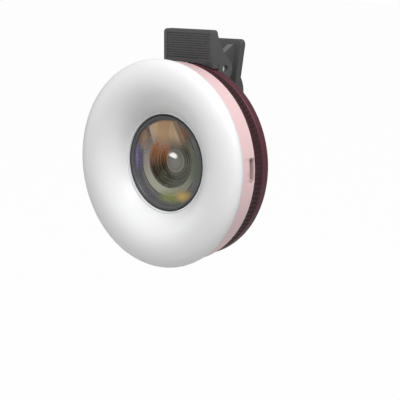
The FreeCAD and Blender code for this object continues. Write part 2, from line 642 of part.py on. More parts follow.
def rear_clip_arm():
    """Lever, waist and rear jaw in one bent plate, with two ears on the pin."""
    def place(offset, inset=0.0):
        return (PIVOT_Y + offset[0] - inset, PIVOT_Z + offset[1])
    top = place(REAR_TOP)
    waist = place(REAR_WAIST)
    bulge = place(REAR_BULGE)
    bend = place(REAR_BEND)
    knee = (REAR_SEAT_Y + REAR_THICK, REAR_KNEE_Z)
    tip = (REAR_SEAT_Y + REAR_THICK, REAR_TIP_Z)
    inside = [(REAR_SEAT_Y, REAR_TIP_Z), (REAR_SEAT_Y, REAR_KNEE_Z), place(REAR_BEND, REAR_THICK),
              place(REAR_WAIST, REAR_THICK), place(REAR_TOP, REAR_THICK)]

    def at(point):
        return FreeCAD.Vector(-HALF_WIDTH, point[0], point[1])
    outline = [top, waist]
    edges = [Part.LineSegment(at(a), at(b)).toShape() for a, b in zip(outline, outline[1:])]
    edges.append(Part.Arc(at(waist), at(bulge), at(bend)).toShape())
    outline = [bend, knee, tip] + inside + [top]
    edges += [Part.LineSegment(at(a), at(b)).toShape() for a, b in zip(outline, outline[1:])]
    face = Part.Face(Part.Wire(Part.__sortEdges__(edges)))
    plate = face.extrude(FreeCAD.Vector(CLIP_WIDTH, 0, 0))
    ends = straight_edges(plate, Y_AXIS, lambda p: p.z < REAR_TIP_Z + SLIP)
    plate = plate.makeFillet(REAR_TIP_ROUND, ends)
    ends = straight_edges(plate, Y_AXIS, lambda p: p.z > top[1] - SLIP)
    plate = plate.makeFillet(LEVER_CORNER, ends)

    ear_points = [place(EAR_TOP), place(EAR_FRONT), (PIVOT_Y - EAR_R * 0.5, PIVOT_Z),
                  (PIVOT_Y, PIVOT_Z - EAR_R), place(EAR_FOOT), place(REAR_WAIST, REAR_THICK / 2),
                  place((REAR_TOP[0], EAR_TOP[1]), REAR_THICK)]
    ears = []
    for x0, x1 in ((EAR_INSIDE, EAR_OUTSIDE), (-EAR_OUTSIDE, -EAR_INSIDE)):
        ears += [slab(ear_points, x0, x1), rod_x(EAR_R, x0, x1, PIVOT_Y, PIVOT_Z)]
    hole = rod_x(PIN_R + FIT, -HALF_WIDTH, HALF_WIDTH, PIVOT_Y, PIVOT_Z)
    arm = plate.fuse(ears).cut(hole).removeSplitter()
    lean = (REAR_TOP[0] - REAR_WAIST[0]) / (REAR_TOP[1] - REAR_WAIST[1])
    return arm.cut(rib_grooves(top[0], lean, PIVOT_Z, top[1]))


def front_pad():
    return turned([(PAD_R, JAW_BACK), (PAD_R, 0), (PAD_HOLE_R, 0), (PAD_HOLE_R, JAW_BACK)])


def rear_pad():
    half = REAR_PAD_WIDTH / 2
    pad = block((-half, BODY_GAP, REAR_TIP_Z + REAR_PAD_MARGIN), (half, REAR_SEAT_Y, REAR_KNEE_Z))
    return pad.makeFillet(REAR_PAD_ROUND, straight_edges(pad, Y_AXIS, lambda p: True))


def pivot_pin():
    half = HALF_WIDTH - PIN_SETBACK
    pin = rod_x(PIN_R, -half, half, PIVOT_Y, PIVOT_Z)
    ends = [e for e in pin.Edges if e.Curve.TypeId == "Part::GeomCircle"]
    return pin.makeFillet(PIN_DOME, ends)


def torsion_spring():
    """Coil about the pin, one leg up each lever."""
    coil_r = PIN_R + COIL_CLEARANCE + WIRE_R
    turns = COIL_TURNS + (REAR_LEG_ANGLE - FRONT_LEG_ANGLE) / 360.0
    length = COIL_PITCH * turns
    helix = Part.makeHelix(COIL_PITCH, length, coil_r)
    helix.rotate(ORIGIN, FreeCAD.Vector(0, 0, 1), FRONT_LEG_ANGLE)

    def on_coil(angle, height):
        a = math.radians(angle)
        lead = COIL_PITCH / (2 * math.pi)
        point = FreeCAD.Vector(coil_r * math.cos(a), coil_r * math.sin(a), height)
        along = FreeCAD.Vector(-coil_r * math.sin(a), coil_r * math.cos(a), lead)
        return point, along.normalize()
    start, start_along = on_coil(FRONT_LEG_ANGLE, 0)
    end, end_along = on_coil(REAR_LEG_ANGLE, length)
    foot = start - start_along * FRONT_LEG
    tip = end + end_along * REAR_LEG
    path = Part.Wire([Part.LineSegment(foot, start).toShape()] + helix.Edges
                     + [Part.LineSegment(end, tip).toShape()])
    ring = Part.Wire(Part.makeCircle(WIRE_R, foot, start_along))
    spring = path.makePipeShell([ring], True, True)
    spring.translate(FreeCAD.Vector(0, 0, -length / 2))
    spring.rotate(ORIGIN, Y_AXIS, 90)
    spring.translate(FreeCAD.Vector(0, PIVOT_Y, PIVOT_Z))
    return spring


PIECES = (
    diffuser, rim_housing, rear_housing, led_board, leds, board_parts, board_screws, battery,
    charging_socket, power_button, tact_switch, wide_lens_barrel, wide_front_glass,
    wide_front_ring, lens_baffle, wide_rear_glass, macro_barrel, macro_glass, macro_ring,
    front_clip_arm, front_pad, rear_clip_arm, rear_pad, pivot_pin, torsion_spring)


def main():
    os.makedirs("parts", exist_ok=True)
    for make in PIECES:
        shape = make()
        shape.exportStep("parts/%s.step" % make.__name__)
        print("%-18s solids %2d  valid %s  volume %8.1f mm3" % (
            make.__name__, len(shape.Solids), shape.isValid(), shape.Volume))


main()
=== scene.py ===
# %% [markdown]
# # A clip-on ring light
#
# This lesson dresses a small ring light: a milky ring round a wide lens, in a pink rim, with a
# burgundy housing behind it and a dark sprung clip that holds it all. The construction comes
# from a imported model, which gives every piece its place. Here each visible piece is modelled
# again with the softness, edges and finish of the real one.
#
# Everything is in metres. The lens axis is the Y axis, the lens looks towards -Y, and Z is up.

# %% Load the frame
import json
import math

import bmesh
import bpy
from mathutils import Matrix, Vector


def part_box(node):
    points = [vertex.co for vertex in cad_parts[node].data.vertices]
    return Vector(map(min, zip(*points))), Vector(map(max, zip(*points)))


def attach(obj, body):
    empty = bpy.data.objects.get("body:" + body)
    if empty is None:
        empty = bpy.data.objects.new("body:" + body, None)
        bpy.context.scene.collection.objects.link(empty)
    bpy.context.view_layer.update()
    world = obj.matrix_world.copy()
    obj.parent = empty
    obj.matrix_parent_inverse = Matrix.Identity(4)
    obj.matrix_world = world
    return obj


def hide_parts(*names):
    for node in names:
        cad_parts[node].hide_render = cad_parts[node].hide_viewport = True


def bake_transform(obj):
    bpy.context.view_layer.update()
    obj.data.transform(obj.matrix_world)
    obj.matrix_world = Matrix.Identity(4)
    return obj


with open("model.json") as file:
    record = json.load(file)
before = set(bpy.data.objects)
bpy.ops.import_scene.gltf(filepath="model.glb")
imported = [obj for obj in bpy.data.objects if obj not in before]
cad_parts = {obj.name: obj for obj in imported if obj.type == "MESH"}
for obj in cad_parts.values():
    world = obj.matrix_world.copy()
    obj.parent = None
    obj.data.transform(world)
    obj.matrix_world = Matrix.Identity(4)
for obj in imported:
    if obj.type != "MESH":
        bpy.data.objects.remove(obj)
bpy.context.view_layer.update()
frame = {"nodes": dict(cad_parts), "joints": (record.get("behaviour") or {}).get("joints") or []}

# %% [markdown]
# ## The camera
#
# A long lens from the right and a little above, as a product photographer would stand. It is
# placed by the point that it looks at, the two angles and the distance, so that each of them
# can be changed alone. With a 36 mm sensor, 166.5 mm of focal length gives the same flat
# perspective as the photograph.

# %% Camera
MM = 0.001
X, Y, Z = 0, 1, 2
LOOK_AT = Vector((6.76, -9.03, -12.28)) * MM
AZIMUTH = math.radians(40.26)
ELEVATION = math.radians(8.68)
DISTANCE = 591.2 * MM


def towards(azimuth, elevation):
    """Unit vector from the object to something seen at these angles."""
    flat = math.cos(elevation)
    return Vector((math.sin(azimuth) * flat, -math.cos(azimuth) * flat, math.sin(elevation)))


bpy.ops.object.select_all(action="DESELECT")
bpy.ops.object.camera_add(location=LOOK_AT + towards(AZIMUTH, ELEVATION) * DISTANCE,
                          rotation=(math.pi / 2 - ELEVATION, 0, AZIMUTH))
camera = bpy.context.active_object
camera.name = "camera"
camera.data.lens = 166.5
camera.data.sensor_width = 36.0
camera.data.clip_start = 0.01
bpy.context.scene.camera = camera
print("camera at", [round(v, 3) for v in camera.location])

# %% [markdown]
# ## Light and backdrop
#
# Large soft lamps keep a milky surface from burning out: the brightest stands high on the
# right, a weaker one fills from the front, and a last one lifts the left edge. The floor and
# the world look white to the camera, the world also through glass, while the world lights the
# object with a plain grey.

# %% Lamps
def lamp(name, azimuth, elevation, distance, size, power):
    """Square soft lamp that faces the object."""
    way = towards(math.radians(azimuth), math.radians(elevation))
    bpy.ops.object.light_add(type="AREA", location=LOOK_AT + way * distance)
    light = bpy.context.active_object
    light.name = name
    light.rotation_euler = (-way).to_track_quat("-Z", "Y").to_euler()
    light.data.size = size
    light.data.energy = power
    return light


lamp("key", 64.0, 52.0, 1.1, 0.6, 11.2)
lamp("front_fill", 0.0, 40.0, 1.3, 0.8, 2.6)
lamp("left_lift", -65.0, 10.0, 1.2, 0.7, 2.4)

# %% World and floor
bpy.context.scene.view_settings.view_transform = "Standard"
WORLD_LIGHT = 0.265
world = bpy.context.scene.world or bpy.data.worlds.new("studio")
bpy.context.scene.world = world
world.use_nodes = True
tree = world.node_tree
tree.nodes.clear()
path = tree.nodes.new("ShaderNodeLightPath")
sees = tree.nodes.new("ShaderNodeMath")
sees.operation = "MAXIMUM"
plain = tree.nodes.new("ShaderNodeBackground")
plain.inputs["Color"].default_value = (1, 1, 1, 1)
plain.inputs["Strength"].default_value = WORLD_LIGHT
white = tree.nodes.new("ShaderNodeBackground")
white.inputs["Color"].default_value = (1, 1, 1, 1)
choose = tree.nodes.new("ShaderNodeMixShader")
out = tree.nodes.new("ShaderNodeOutputWorld")
tree.links.new(path.outputs["Is Camera Ray"], sees.inputs[0])
tree.links.new(path.outputs["Is Transmission Ray"], sees.inputs[1])
tree.links.new(sees.outputs[0], choose.inputs[0])
tree.links.new(plain.outputs[0], choose.inputs[1])
tree.links.new(white.outputs[0], choose.inputs[2])
tree.links.new(choose.outputs[0], out.inputs["Surface"])
print("world light:", WORLD_LIGHT)

FLOOR_Z = -0.11
FLOOR_WHITE = 0.98
bpy.ops.object.select_all(action="DESELECT")
bpy.ops.mesh.primitive_plane_add(size=6.0, location=(0, 0, FLOOR_Z))
floor = bpy.context.active_object
floor.name = "floor"

# %% [markdown]
# ## Shader maths as plain expressions
#
# A material is easier to read as a sum than as a tangle of nodes. `Flow` wraps one output of a
# node, so `rings * 0.2 + grain` adds the Math nodes by itself. `Finish` owns one material: its
# `node` method makes any other node, and `set` feeds a socket of the main shader.

# %% Flow
class Flow:
    """One output socket, with the arithmetic that the finishes use."""

    def __init__(self, tree, socket):
        self.tree = tree
        self.socket = socket

    def math(self, operation, *others):
        node = self.tree.nodes.new("ShaderNodeMath")
        node.operation = operation
        for slot, value in zip(node.inputs, (self,) + others):
            feed(self.tree, slot, value)
        return Flow(self.tree, node.outputs[0])

    def __add__(self, other):
        return self.math("ADD", other)

    def __sub__(self, other):
        return self.math("SUBTRACT", other)

    def __mul__(self, other):
        return self.math("MULTIPLY", other)

    def __rsub__(self, other):
        return self.math("MULTIPLY", -1.0).math("ADD", other)

    def clamp(self):
        node = self.tree.nodes.new("ShaderNodeClamp")
        feed(self.tree, node.inputs[0], self)
        return Flow(self.tree, node.outputs[0])

    def ramp(self, low, high):
        """0 below low, 1 above high, smooth between."""
        node = self.tree.nodes.new("ShaderNodeMapRange")
        node.interpolation_type = "SMOOTHSTEP"
        feed(self.tree, node.inputs["Value"], self)
        node.inputs["From Min"].default_value = low
        node.inputs["From Max"].default_value = high
        return Flow(self.tree, node.outputs["Result"])


def feed(tree, slot, value):
    """Sets a socket from a Flow, a colour, a vector or a number."""
    if isinstance(value, Flow):
        tree.links.new(value.socket, slot)
    elif slot.type == "RGBA" and len(value) == 3:
        slot.default_value = (*value, 1.0)
    else:
        slot.default_value = value


print("shader sums ready")

# %% Finish
class Finish:
    """One material: a main shader with fixed values, and a place to add detail to it."""

    def __init__(self, name, **fixed):
        self.material = bpy.data.materials.new(name)
        self.material.use_nodes = True
        self.tree = self.material.node_tree
        self.shader = self.tree.nodes["Principled BSDF"]
        for socket, value in fixed.items():
            self.set(socket.replace("_", " ").title().replace("Ior", "IOR"), value)
        place = self.tree.nodes.new("ShaderNodeTexCoord")
        self.place = Flow(self.tree, place.outputs["Object"])

    def set(self, socket, value):
        feed(self.tree, self.shader.inputs[socket], value)

    def node(self, kind, settings, values, output=0):
        """Any node: its settings first, then the values or links of its sockets."""
        node = self.tree.nodes.new("ShaderNode" + kind)
        for key, value in settings.items():
            setattr(node, key, value)
        for key, value in values.items():
            feed(self.tree, node.inputs[key], value)
        return Flow(self.tree, node.outputs[output])

    def noise(self, scale, detail=3.0, roughness=0.55):
        values = {"Vector": self.place, "Scale": scale, "Detail": detail, "Roughness": roughness}
        return self.node("TexNoise", {}, values)

    def mix(self, factor, low, high):
        """Colour between two others."""
        return self.node("Mix", {"data_type": "RGBA"}, {0: factor, 6: low, 7: high}, 2)

    def axis(self, index):
        return self.node("SeparateXYZ", {}, {0: self.place}, index)

    def moved(self, x):
        """The place, counted from a line this many millimetres beside the lens axis."""
        return self.node("VectorMath", {"operation": "SUBTRACT"}, {0: self.place, 1: (x * MM, 0, 0)})

    def radius(self, x=0.0):
        """Distance from the lens axis, or from a line beside it, in metres."""
        flat = self.node("VectorMath", {"operation": "MULTIPLY"}, {0: self.moved(x), 1: (1, 0, 1)})
        return self.node("VectorMath", {"operation": "LENGTH"}, {0: flat}, 1)

    def across(self, a, b, c=0.0):
        """a * x + b * z + c on the face of the lens, in millimetres."""
        line = {0: self.place, 1: (a / MM, 0, b / MM)}
        return self.node("VectorMath", {"operation": "DOT_PRODUCT"}, line, 1) + c

    def spot(self, x, z, wide, high):
        """1 at a place on the face of the lens, in millimetres, falling to 0 at its edge."""
        scale = (1 / (wide * MM), 0, 1 / (high * MM))
        flat = self.node("VectorMath", {"operation": "MULTIPLY"}, {0: self.place, 1: scale})
        middle = {0: flat, 1: (x / wide, 0, z / high)}
        far = self.node("VectorMath", {"operation": "DISTANCE"}, middle, 1)
        return 1.0 - far.ramp(0.0, 1.0)

    def rings(self, pitch, x=0.0, sharp=0.8):
        """Thin rings about the lens axis, or a line beside it, this many millimetres apart."""
        values = {"Vector": self.moved(x), "Scale": math.pi / (10 * pitch * MM)}
        wave = self.node("TexWave", {"wave_type": "RINGS", "rings_direction": "Y"}, values, 1)
        return wave.ramp(sharp, 1.0)

    def bump(self, height, depth):
        values = {"Height": height, "Strength": 1.0, "Distance": depth}
        self.set("Normal", self.node("Bump", {}, values))


def wear(piece, finish):
    """Puts a finish on a piece of the scene or of the frame."""
    piece.data.materials.clear()
    piece.data.materials.append(finish.material)
    return piece


floor_finish = Finish("floor_white", base_color=(0.55, 0.55, 0.55), roughness=0.9)
is_seen = floor_finish.node("LightPath", {}, {})
glow = floor_finish.node("Emission", {}, {"Color": (1, 1, 1), "Strength": 1.0})
both = floor_finish.node("MixShader", {}, {0: is_seen * FLOOR_WHITE})
mixer = both.socket.node
floor_finish.tree.links.new(floor_finish.shader.outputs[0], mixer.inputs[1])
floor_finish.tree.links.new(glow.socket, mixer.inputs[2])
floor_finish.tree.links.new(both.socket, floor_finish.tree.nodes["Material Output"].inputs[0])
wear(floor, floor_finish)
print("floor at", FLOOR_Z)

# %% [markdown]
# ## Modelling tools
#
# Four tools do most of the work. `turned` draws an outline and spins it, as on a lathe.
# `prism` draws an outline from the side and pulls it out along X. `carve` cuts or joins one
# piece with another, and `soften` rounds the edges that are left sharp, because no moulded
# edge is truly sharp and the small highlight on it is what makes it look real.

# %% Modelling tools
def alone(piece):
    bpy.ops.object.select_all(action="DESELECT")
    piece.select_set(True)
    bpy.context.view_layer.objects.active = piece


def first_point(name, place):
    """Starts a drawing: a plane shrunk to one vertex, left in edit mode."""
    bpy.ops.object.select_all(action="DESELECT")
    bpy.ops.mesh.primitive_plane_add(size=MM, location=(0, 0, 0))
    piece = bpy.context.active_object
    piece.name = name
    piece.data.name = name
    bpy.ops.object.mode_set(mode="EDIT")
    bpy.ops.mesh.select_mode(type="VERT")
    bpy.ops.mesh.select_all(action="SELECT")
    bpy.ops.mesh.merge(type="CENTER")
    bpy.ops.transform.translate(value=place)
    return piece


def draw(name, points, closed=True):
    """Draws a run of edges through points, extruding one vertex along them."""
    piece = first_point(name, points[0])
    route = points + points[:1] if closed else points
    for a, b in zip(route, route[1:]):
        bpy.ops.mesh.extrude_region_move(TRANSFORM_OT_translate={"value": Vector(b) - Vector(a)})
    bpy.ops.mesh.select_all(action="SELECT")
    bpy.ops.mesh.remove_doubles(threshold=MM / 1000)
    return piece


def outward():
    bpy.ops.mesh.select_all(action="SELECT")
    bpy.ops.mesh.remove_doubles(threshold=MM / 1000)
    bpy.ops.mesh.normals_make_consistent(inside=False)
    bpy.ops.object.mode_set(mode="OBJECT")


def apply(piece, kind, **settings):
    """Adds a modifier with these settings and applies it."""
    alone(piece)
    bpy.ops.object.modifier_add(type=kind)
    modifier = piece.modifiers[-1]
    for key, value in settings.items():
        setattr(modifier, key, value)
    bpy.ops.object.modifier_apply(modifier=modifier.name)


def soften(piece, width, segments=3, angle=35.0):
    """Rounds the sharp edges and shades the rest smooth."""
    if width:
        apply(piece, "BEVEL", width=width, segments=segments, limit_method="ANGLE",
              angle_limit=math.radians(angle), harden_normals=False)
    alone(piece)
    bpy.ops.object.shade_smooth_by_angle(angle=math.radians(40.0))
    return piece


def turned(name, outline, steps=160, closed=True, width=0.0):
    """Spins an outline of (radius, y) points, in millimetres, about the lens axis."""
    piece = draw(name, [(r * MM, y * MM, 0) for r, y in outline], closed)
    bpy.ops.mesh.spin(steps=steps, angle=2 * math.pi, center=(0, 0, 0), axis=(0, 1, 0))
    outward()
    return soften(piece, width * MM)


def prism(name, outline, x0, x1):
    """Pulls an outline of (y, z) points, in millimetres, along X."""
    piece = draw(name, [(x0 * MM, y * MM, z * MM) for y, z in outline])
    bpy.ops.mesh.edge_face_add()
    bpy.ops.mesh.extrude_region_move(TRANSFORM_OT_translate={"value": ((x1 - x0) * MM, 0, 0)})
    outward()
    return piece


def rod(name, radius, x0, x1, y, z, sides=64):
    """Cylinder along X, in millimetres."""
    outline = [(y + radius * math.cos(2 * math.pi * i / sides),
                z + radius * math.sin(2 * math.pi * i / sides)) for i in range(sides)]
    return prism(name, outline, x0, x1)


def carve(piece, tool, operation="DIFFERENCE", solver="EXACT"):
    """Cuts a tool out of a piece, or joins it on, and removes the tool."""
    apply(piece, "BOOLEAN", operation=operation, object=tool, solver=solver)
    bpy.data.objects.remove(tool)
    return piece


def clean(piece):
    """Merges the slivers and flat fragments that joining leaves, so that a bevel runs evenly."""
    alone(piece)
    bpy.ops.object.mode_set(mode="EDIT")
    bpy.ops.mesh.select_all(action="SELECT")
    bpy.ops.mesh.remove_doubles(threshold=0.03 * MM)
    bpy.ops.mesh.dissolve_limited(angle_limit=math.radians(0.5))
    bpy.ops.object.mode_set(mode="OBJECT")
    return piece


def select_edges(piece, test):
    """In edit mode, selects the edges whose two ends pass a test."""
    bpy.ops.mesh.select_mode(type="EDGE")
    bpy.ops.mesh.select_all(action="DESELECT")
    mesh = bmesh.from_edit_mesh(piece.data)
    for edge in mesh.edges:
        edge.select_set(test(edge.verts[0].co, edge.verts[1].co))
    bmesh.update_edit_mesh(piece.data)


def select_points(piece, test):
    """In edit mode, selects the points that pass a test."""
    bpy.ops.mesh.select_mode(type="VERT")
    bpy.ops.mesh.select_all(action="DESELECT")
    mesh = bmesh.from_edit_mesh(piece.data)
    for point in mesh.verts:
        point.select_set(test(point.co))
    mesh.select_flush(True)
    bmesh.update_edit_mesh(piece.data)


def bar(name, low, high, radius, along=X):
    """Box between two corners, in millimetres, with its edges along one axis rounded."""
    bpy.ops.object.select_all(action="DESELECT")
    bpy.ops.mesh.primitive_cube_add(size=1.0, location=(0, 0, 0))
    piece = bpy.context.active_object
    piece.name = name
    piece.data.name = name
    size = [(b - a) * MM for a, b in zip(low, high)]
    middle = [(a + b) / 2 * MM for a, b in zip(low, high)]
    bpy.ops.object.mode_set(mode="EDIT")
    bpy.ops.mesh.select_all(action="SELECT")
    bpy.ops.transform.resize(value=size)
    bpy.ops.transform.translate(value=middle)
    if radius:
        select_edges(piece, lambda a, b: abs((a - b)[along]) > size[along] * 0.9)
        bpy.ops.mesh.bevel(offset=radius * MM, segments=8, affect="EDGES")
    outward()
    return piece


def span(node, axis):
    """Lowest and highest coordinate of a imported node, in millimetres."""
    low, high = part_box(node)
    return low[axis] / MM, high[axis] / MM


def quarter(steps):
    """Angles from 0 to a right angle."""
    return [math.pi / 2 * i / steps for i in range(steps + 1)]


print("tools ready")

# %% [markdown]
# ## The milky ring
#
# The real ring is one moulded shell of white plastic. Its section is a quarter of an ellipse
# outside the crown and a longer, deeper one that runs down to the lens, so both are drawn from
# the ellipse's formula and meet at the crown with the same slope. The open shell is spun, its
# normals are turned outwards, and only then does Solidify give it a wall.

# %% Milky ring
CROWN_IN = 7.2
FUNNEL_END = math.radians(59.5)
SIDE = 1.1
TUCK = 0.35
LIP_WIDTH = 0.7
LIP_RISE = 0.3
WALL = 1.5

crown_y, tube_back = span("diffuser", Y)
ring_r = span("diffuser", X)[1]
rim_front, rim_back = span("rim_housing", Y)
rim_r = span("rim_housing", X)[1]
barrel_r = span("wide_lens_barrel", X)[1]
barrel_front, barrel_back = span("wide_lens_barrel", Y)
tube_r = barrel_r + 0.1
lip_y = barrel_front - 0.15
crown_r = ring_r - CROWN_IN
funnel_r = tube_r + LIP_WIDTH
side_y = rim_front - SIDE
deep_a = (crown_r - funnel_r) / math.sin(FUNNEL_END)
deep_b = (lip_y - crown_y) / (1 - math.cos(FUNNEL_END))

ring_outline = [(ring_r - TUCK, rim_front + 0.02), (ring_r - TUCK * 0.35, rim_front - SIDE * 0.35)]
ring_outline += [(crown_r + CROWN_IN * math.cos(t), side_y + (crown_y - side_y) * math.sin(t))
                 for t in quarter(20)]
ring_outline += [(crown_r - deep_a * math.sin(t), crown_y + deep_b * (1 - math.cos(t)))
                 for t in [FUNNEL_END * i / 24 for i in range(1, 25)]]
ring_outline += [(funnel_r - LIP_WIDTH * 0.2, lip_y - LIP_RISE * 0.4),
                 (funnel_r - LIP_WIDTH * 0.55, lip_y - LIP_RISE),
                 (funnel_r - LIP_WIDTH * 0.9, lip_y - LIP_RISE * 0.6),
                 (tube_r, lip_y + LIP_RISE * 0.3), (tube_r, tube_back)]
milky_ring = turned("milky_ring", ring_outline, steps=192, closed=False)
apply(milky_ring, "SOLIDIFY", thickness=WALL * MM, offset=-1.0)
soften(milky_ring, 0)
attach(milky_ring, "light_unit")
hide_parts("diffuser")
print("milky ring:", len(milky_ring.data.polygons), "faces")

# %% [markdown]
# The finish is a satin white with a faint orange peel from the mould. A little scattering under
# the surface keeps its shadows soft, as in milky plastic.

# %% Milky finish
milky = Finish("milky_white", specular_ior_level=0.42, subsurface_weight=0.12,
               subsurface_radius=(1.0, 0.95, 0.9), subsurface_scale=0.003)
cloud = milky.noise(55.0, 2.0)
milky.set("Base Color", milky.mix(cloud, (0.83, 0.83, 0.84), (0.88, 0.88, 0.88)))
milky.set("Roughness", milky.noise(900.0) * 0.1 + 0.34)
milky.bump(milky.noise(1400.0, 4.0), 0.00002)
wear(milky_ring, milky)
print("finish:", milky.material.name)

# %% [markdown]
# ## The pink rim
#
# A plain band with two openings: the charging port on the right and the button's slot on the
# left. It is turned with its bevels, and each opening is cut by a rounded bar.

# %% Pink rim
SEAM = 0.3
RIM_WALL = 2.0
port_low, port_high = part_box("charging_socket")
button_low, button_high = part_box("power_button")
rim_r_back = rim_r - 0.54
pink_rim = turned("pink_rim", [
    (rim_r, rim_front + SEAM), (rim_r - SEAM, rim_front), (rim_r - RIM_WALL, rim_front),
    (rim_r - RIM_WALL, rim_back), (rim_r_back - SEAM, rim_back), (rim_r_back, rim_back - SEAM)],
    steps=192)
port_tool = bar("port_tool", (28.0, port_low.y / MM - 0.12, port_low.z / MM - 0.12),
                (34.0, port_high.y / MM + 0.1, port_high.z / MM + 0.12), 0.9)
slot_tool = bar("slot_tool", (-34.0, button_low.y / MM + 0.25, button_low.z / MM + 0.25),
                (-28.0, button_high.y / MM - 0.25, button_high.z / MM - 0.25), 1.1)
carve(pink_rim, port_tool)
carve(pink_rim, slot_tool)
soften(pink_rim, 0.12 * MM, segments=2, angle=50.0)
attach(pink_rim, "light_unit")
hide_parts("rim_housing")

pink = Finish("pink_satin", roughness=0.32, coat_weight=0.35, coat_roughness=0.2)
pink_cloud = pink.noise(80.0, 2.0)
pink.set("Base Color", pink.mix(pink_cloud, (0.86, 0.60, 0.61), (0.89, 0.635, 0.645)))
pink.set("Roughness", pink.noise(700.0) * 0.12 + 0.28)
pink.bump(pink.noise(2200.0, 4.0), 0.000012)
wear(pink_rim, pink)
print("pink rim:", len(pink_rim.data.polygons), "faces")

# %% [markdown]
# ## The burgundy housing
#
# The drum behind the rim has a plain neck, a knurled band to grip and a smooth band. It is
# spun with four columns of points to each knurl. The points on every fourth column are then
# drawn in towards the axis, and those beside it a little, inside the band only. So each groove
# is round in section and runs out at both ends.

# %% Burgundy housing
KNURLS = 120
KNURL_DEPTH = 0.42
NECK = 1.4
BAND_STEP = 0.8
KNURL_BAND = 3.6
band_r = span("rear_housing", X)[1]
housing_back = span("rear_housing", Y)[1]
knurl_a = rim_back + NECK
knurl_b = knurl_a + KNURL_BAND
neck_r = band_r - BAND_STEP
grip_r = band_r - 0.08
inner_r = barrel_r + 0.12
housing = turned("burgundy_housing", [
    (neck_r, rim_back + 0.02), (neck_r, knurl_a - 0.12), (neck_r + 0.12, knurl_a),
    (grip_r - 0.22, knurl_a), (grip_r, knurl_a + 0.22),
    (grip_r, knurl_a + 0.55), (grip_r, knurl_a + 0.95), (grip_r, knurl_b - 0.95),
    (grip_r, knurl_b - 0.55), (grip_r, knurl_b - 0.25),
    (grip_r - 0.12, knurl_b - 0.12), (grip_r - 0.12, knurl_b), (band_r - 0.1, knurl_b + 0.05),
    (band_r, knurl_b + 0.2), (band_r, housing_back - 0.75), (band_r - 0.12, housing_back - 0.32),
    (band_r - 0.4, housing_back - 0.08), (band_r - 0.8, housing_back),
    (inner_r + 2.2, housing_back), (inner_r + 2.0, housing_back), (inner_r, housing_back),
    (inner_r, housing_back - 1.6), (neck_r - 1.6, housing_back - 1.6),
    (neck_r - 1.6, rim_back + 0.02)], steps=KNURLS * 4)

bpy.ops.object.mode_set(mode="EDIT")
column = 2 * math.pi / (KNURLS * 4)


def draw_in(depth, columns, front, back):
    """Scales the points on some columns of the band towards the axis."""
    def on_groove(place):
        turn = round(math.atan2(place.z, place.x) / column) % 4
        outside = math.hypot(place.x, place.z) > neck_r * MM
        return turn in columns and front <= place.y / MM <= back and outside
    select_points(housing, on_groove)
    share = 1 - depth / grip_r
    bpy.ops.transform.resize(value=(share, 1, share), center_override=(0, 0, 0))


draw_in(KNURL_DEPTH, (0,), knurl_a + 0.9, knurl_b - 0.9)
draw_in(KNURL_DEPTH * 0.55, (0,), knurl_a + 0.5, knurl_a + 0.6)
draw_in(KNURL_DEPTH * 0.55, (0,), knurl_b - 0.6, knurl_b - 0.5)
draw_in(KNURL_DEPTH * 0.35, (1, 3), knurl_a + 0.9, knurl_b - 0.9)
outward()
alone(housing)
bpy.ops.object.shade_smooth_by_angle(angle=math.radians(32.0))
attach(housing, "light_unit")
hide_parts("rear_housing")

burgundy = Finish("burgundy_satin", roughness=0.42, specular_ior_level=0.35)
wine = burgundy.mix(burgundy.noise(60.0, 2.0), (0.088, 0.025, 0.035), (0.108, 0.032, 0.044))
along = burgundy.axis(Y)
# Painted shade: the neck and the knurled band are painted much darker than the smooth band, for the shade
# they lie in behind the rim.
shade = burgundy.mix(along.ramp(rim_back * MM, knurl_a * MM), (0.018, 0.006, 0.008),
                     (0.042, 0.013, 0.018))
smooth_band = along.ramp((knurl_b - 0.2) * MM, knurl_b * MM)
burgundy.set("Base Color", burgundy.mix(smooth_band, shade, wine))
burgundy.set("Roughness", burgundy.noise(800.0) * 0.14 + 0.34)
burgundy.bump(burgundy.noise(2400.0, 4.0), 0.000014)
wear(housing, burgundy)
print("housing:", len(housing.data.polygons), "faces")

# %% [markdown]
# ## The wide lens
#
# Behind a domed front glass lies a stepped black cone with turned ridges, a lighter ring and a
# second glass. Each is turned from its own outline. The domes come from the circle through
# their rim and apex. A hair of air lies between the front glass, its ledge and the cone.

# %% Lens outlines
def dome(chord, rim_y, rise, steps=14):
    """Points from the rim of a dome to its apex. A positive rise bulges forward."""
    radius = (chord ** 2 + rise ** 2) / (2 * abs(rise))
    side = math.copysign(1.0, rise)
    points = []
    for i in range(steps + 1):
        r = chord * (1 - i / steps)
        points.append((r, rim_y - rise + side * (radius - math.sqrt(radius ** 2 - r ** 2))))
    return points


glass_r = span("wide_front_glass", X)[1]
glass_apex, glass_back = span("wide_front_glass", Y)
ring_front, ring_back = span("wide_front_ring", Y)
baffle_front, baffle_back = span("lens_baffle", Y)
baffle_r = span("lens_baffle", X)[1]
rear_glass_r = span("wide_rear_glass", X)[1]
LIP = 0.57
FRONT_FLAT = 0.8
HOLLOW_R = 10.2
HOLLOW_DEPTH = 2.0
GAP = 0.05
SHELF_OUT = 11.0
SHELF_IN = 8.4
SHELF_STEP = 0.2
LEDGE_GAP = 0.04
print("front glass radius:", round(glass_r, 2), "mm")

# %% Lens barrel
barrel = turned("lens_barrel", [
    (barrel_r, barrel_front + 0.15), (barrel_r - 0.15, barrel_front),
    (barrel_r - LIP + 0.1, barrel_front), (barrel_r - LIP, barrel_front + 0.1),
    (glass_r + 0.1, ring_back), (glass_r + 0.1, glass_back + LEDGE_GAP),
    (baffle_r + 0.1, glass_back + LEDGE_GAP), (baffle_r + 0.1, baffle_back), (9.3, baffle_back),
    (9.3, -10.2), (8.2, -10.2), (8.2, -9.7), (9.65, -9.7), (9.65, -6.9), (11.25, -6.9),
    (11.25, barrel_back), (barrel_r, barrel_back)],
    steps=160, width=0.04)
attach(barrel, "light_unit")
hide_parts("wide_lens_barrel")

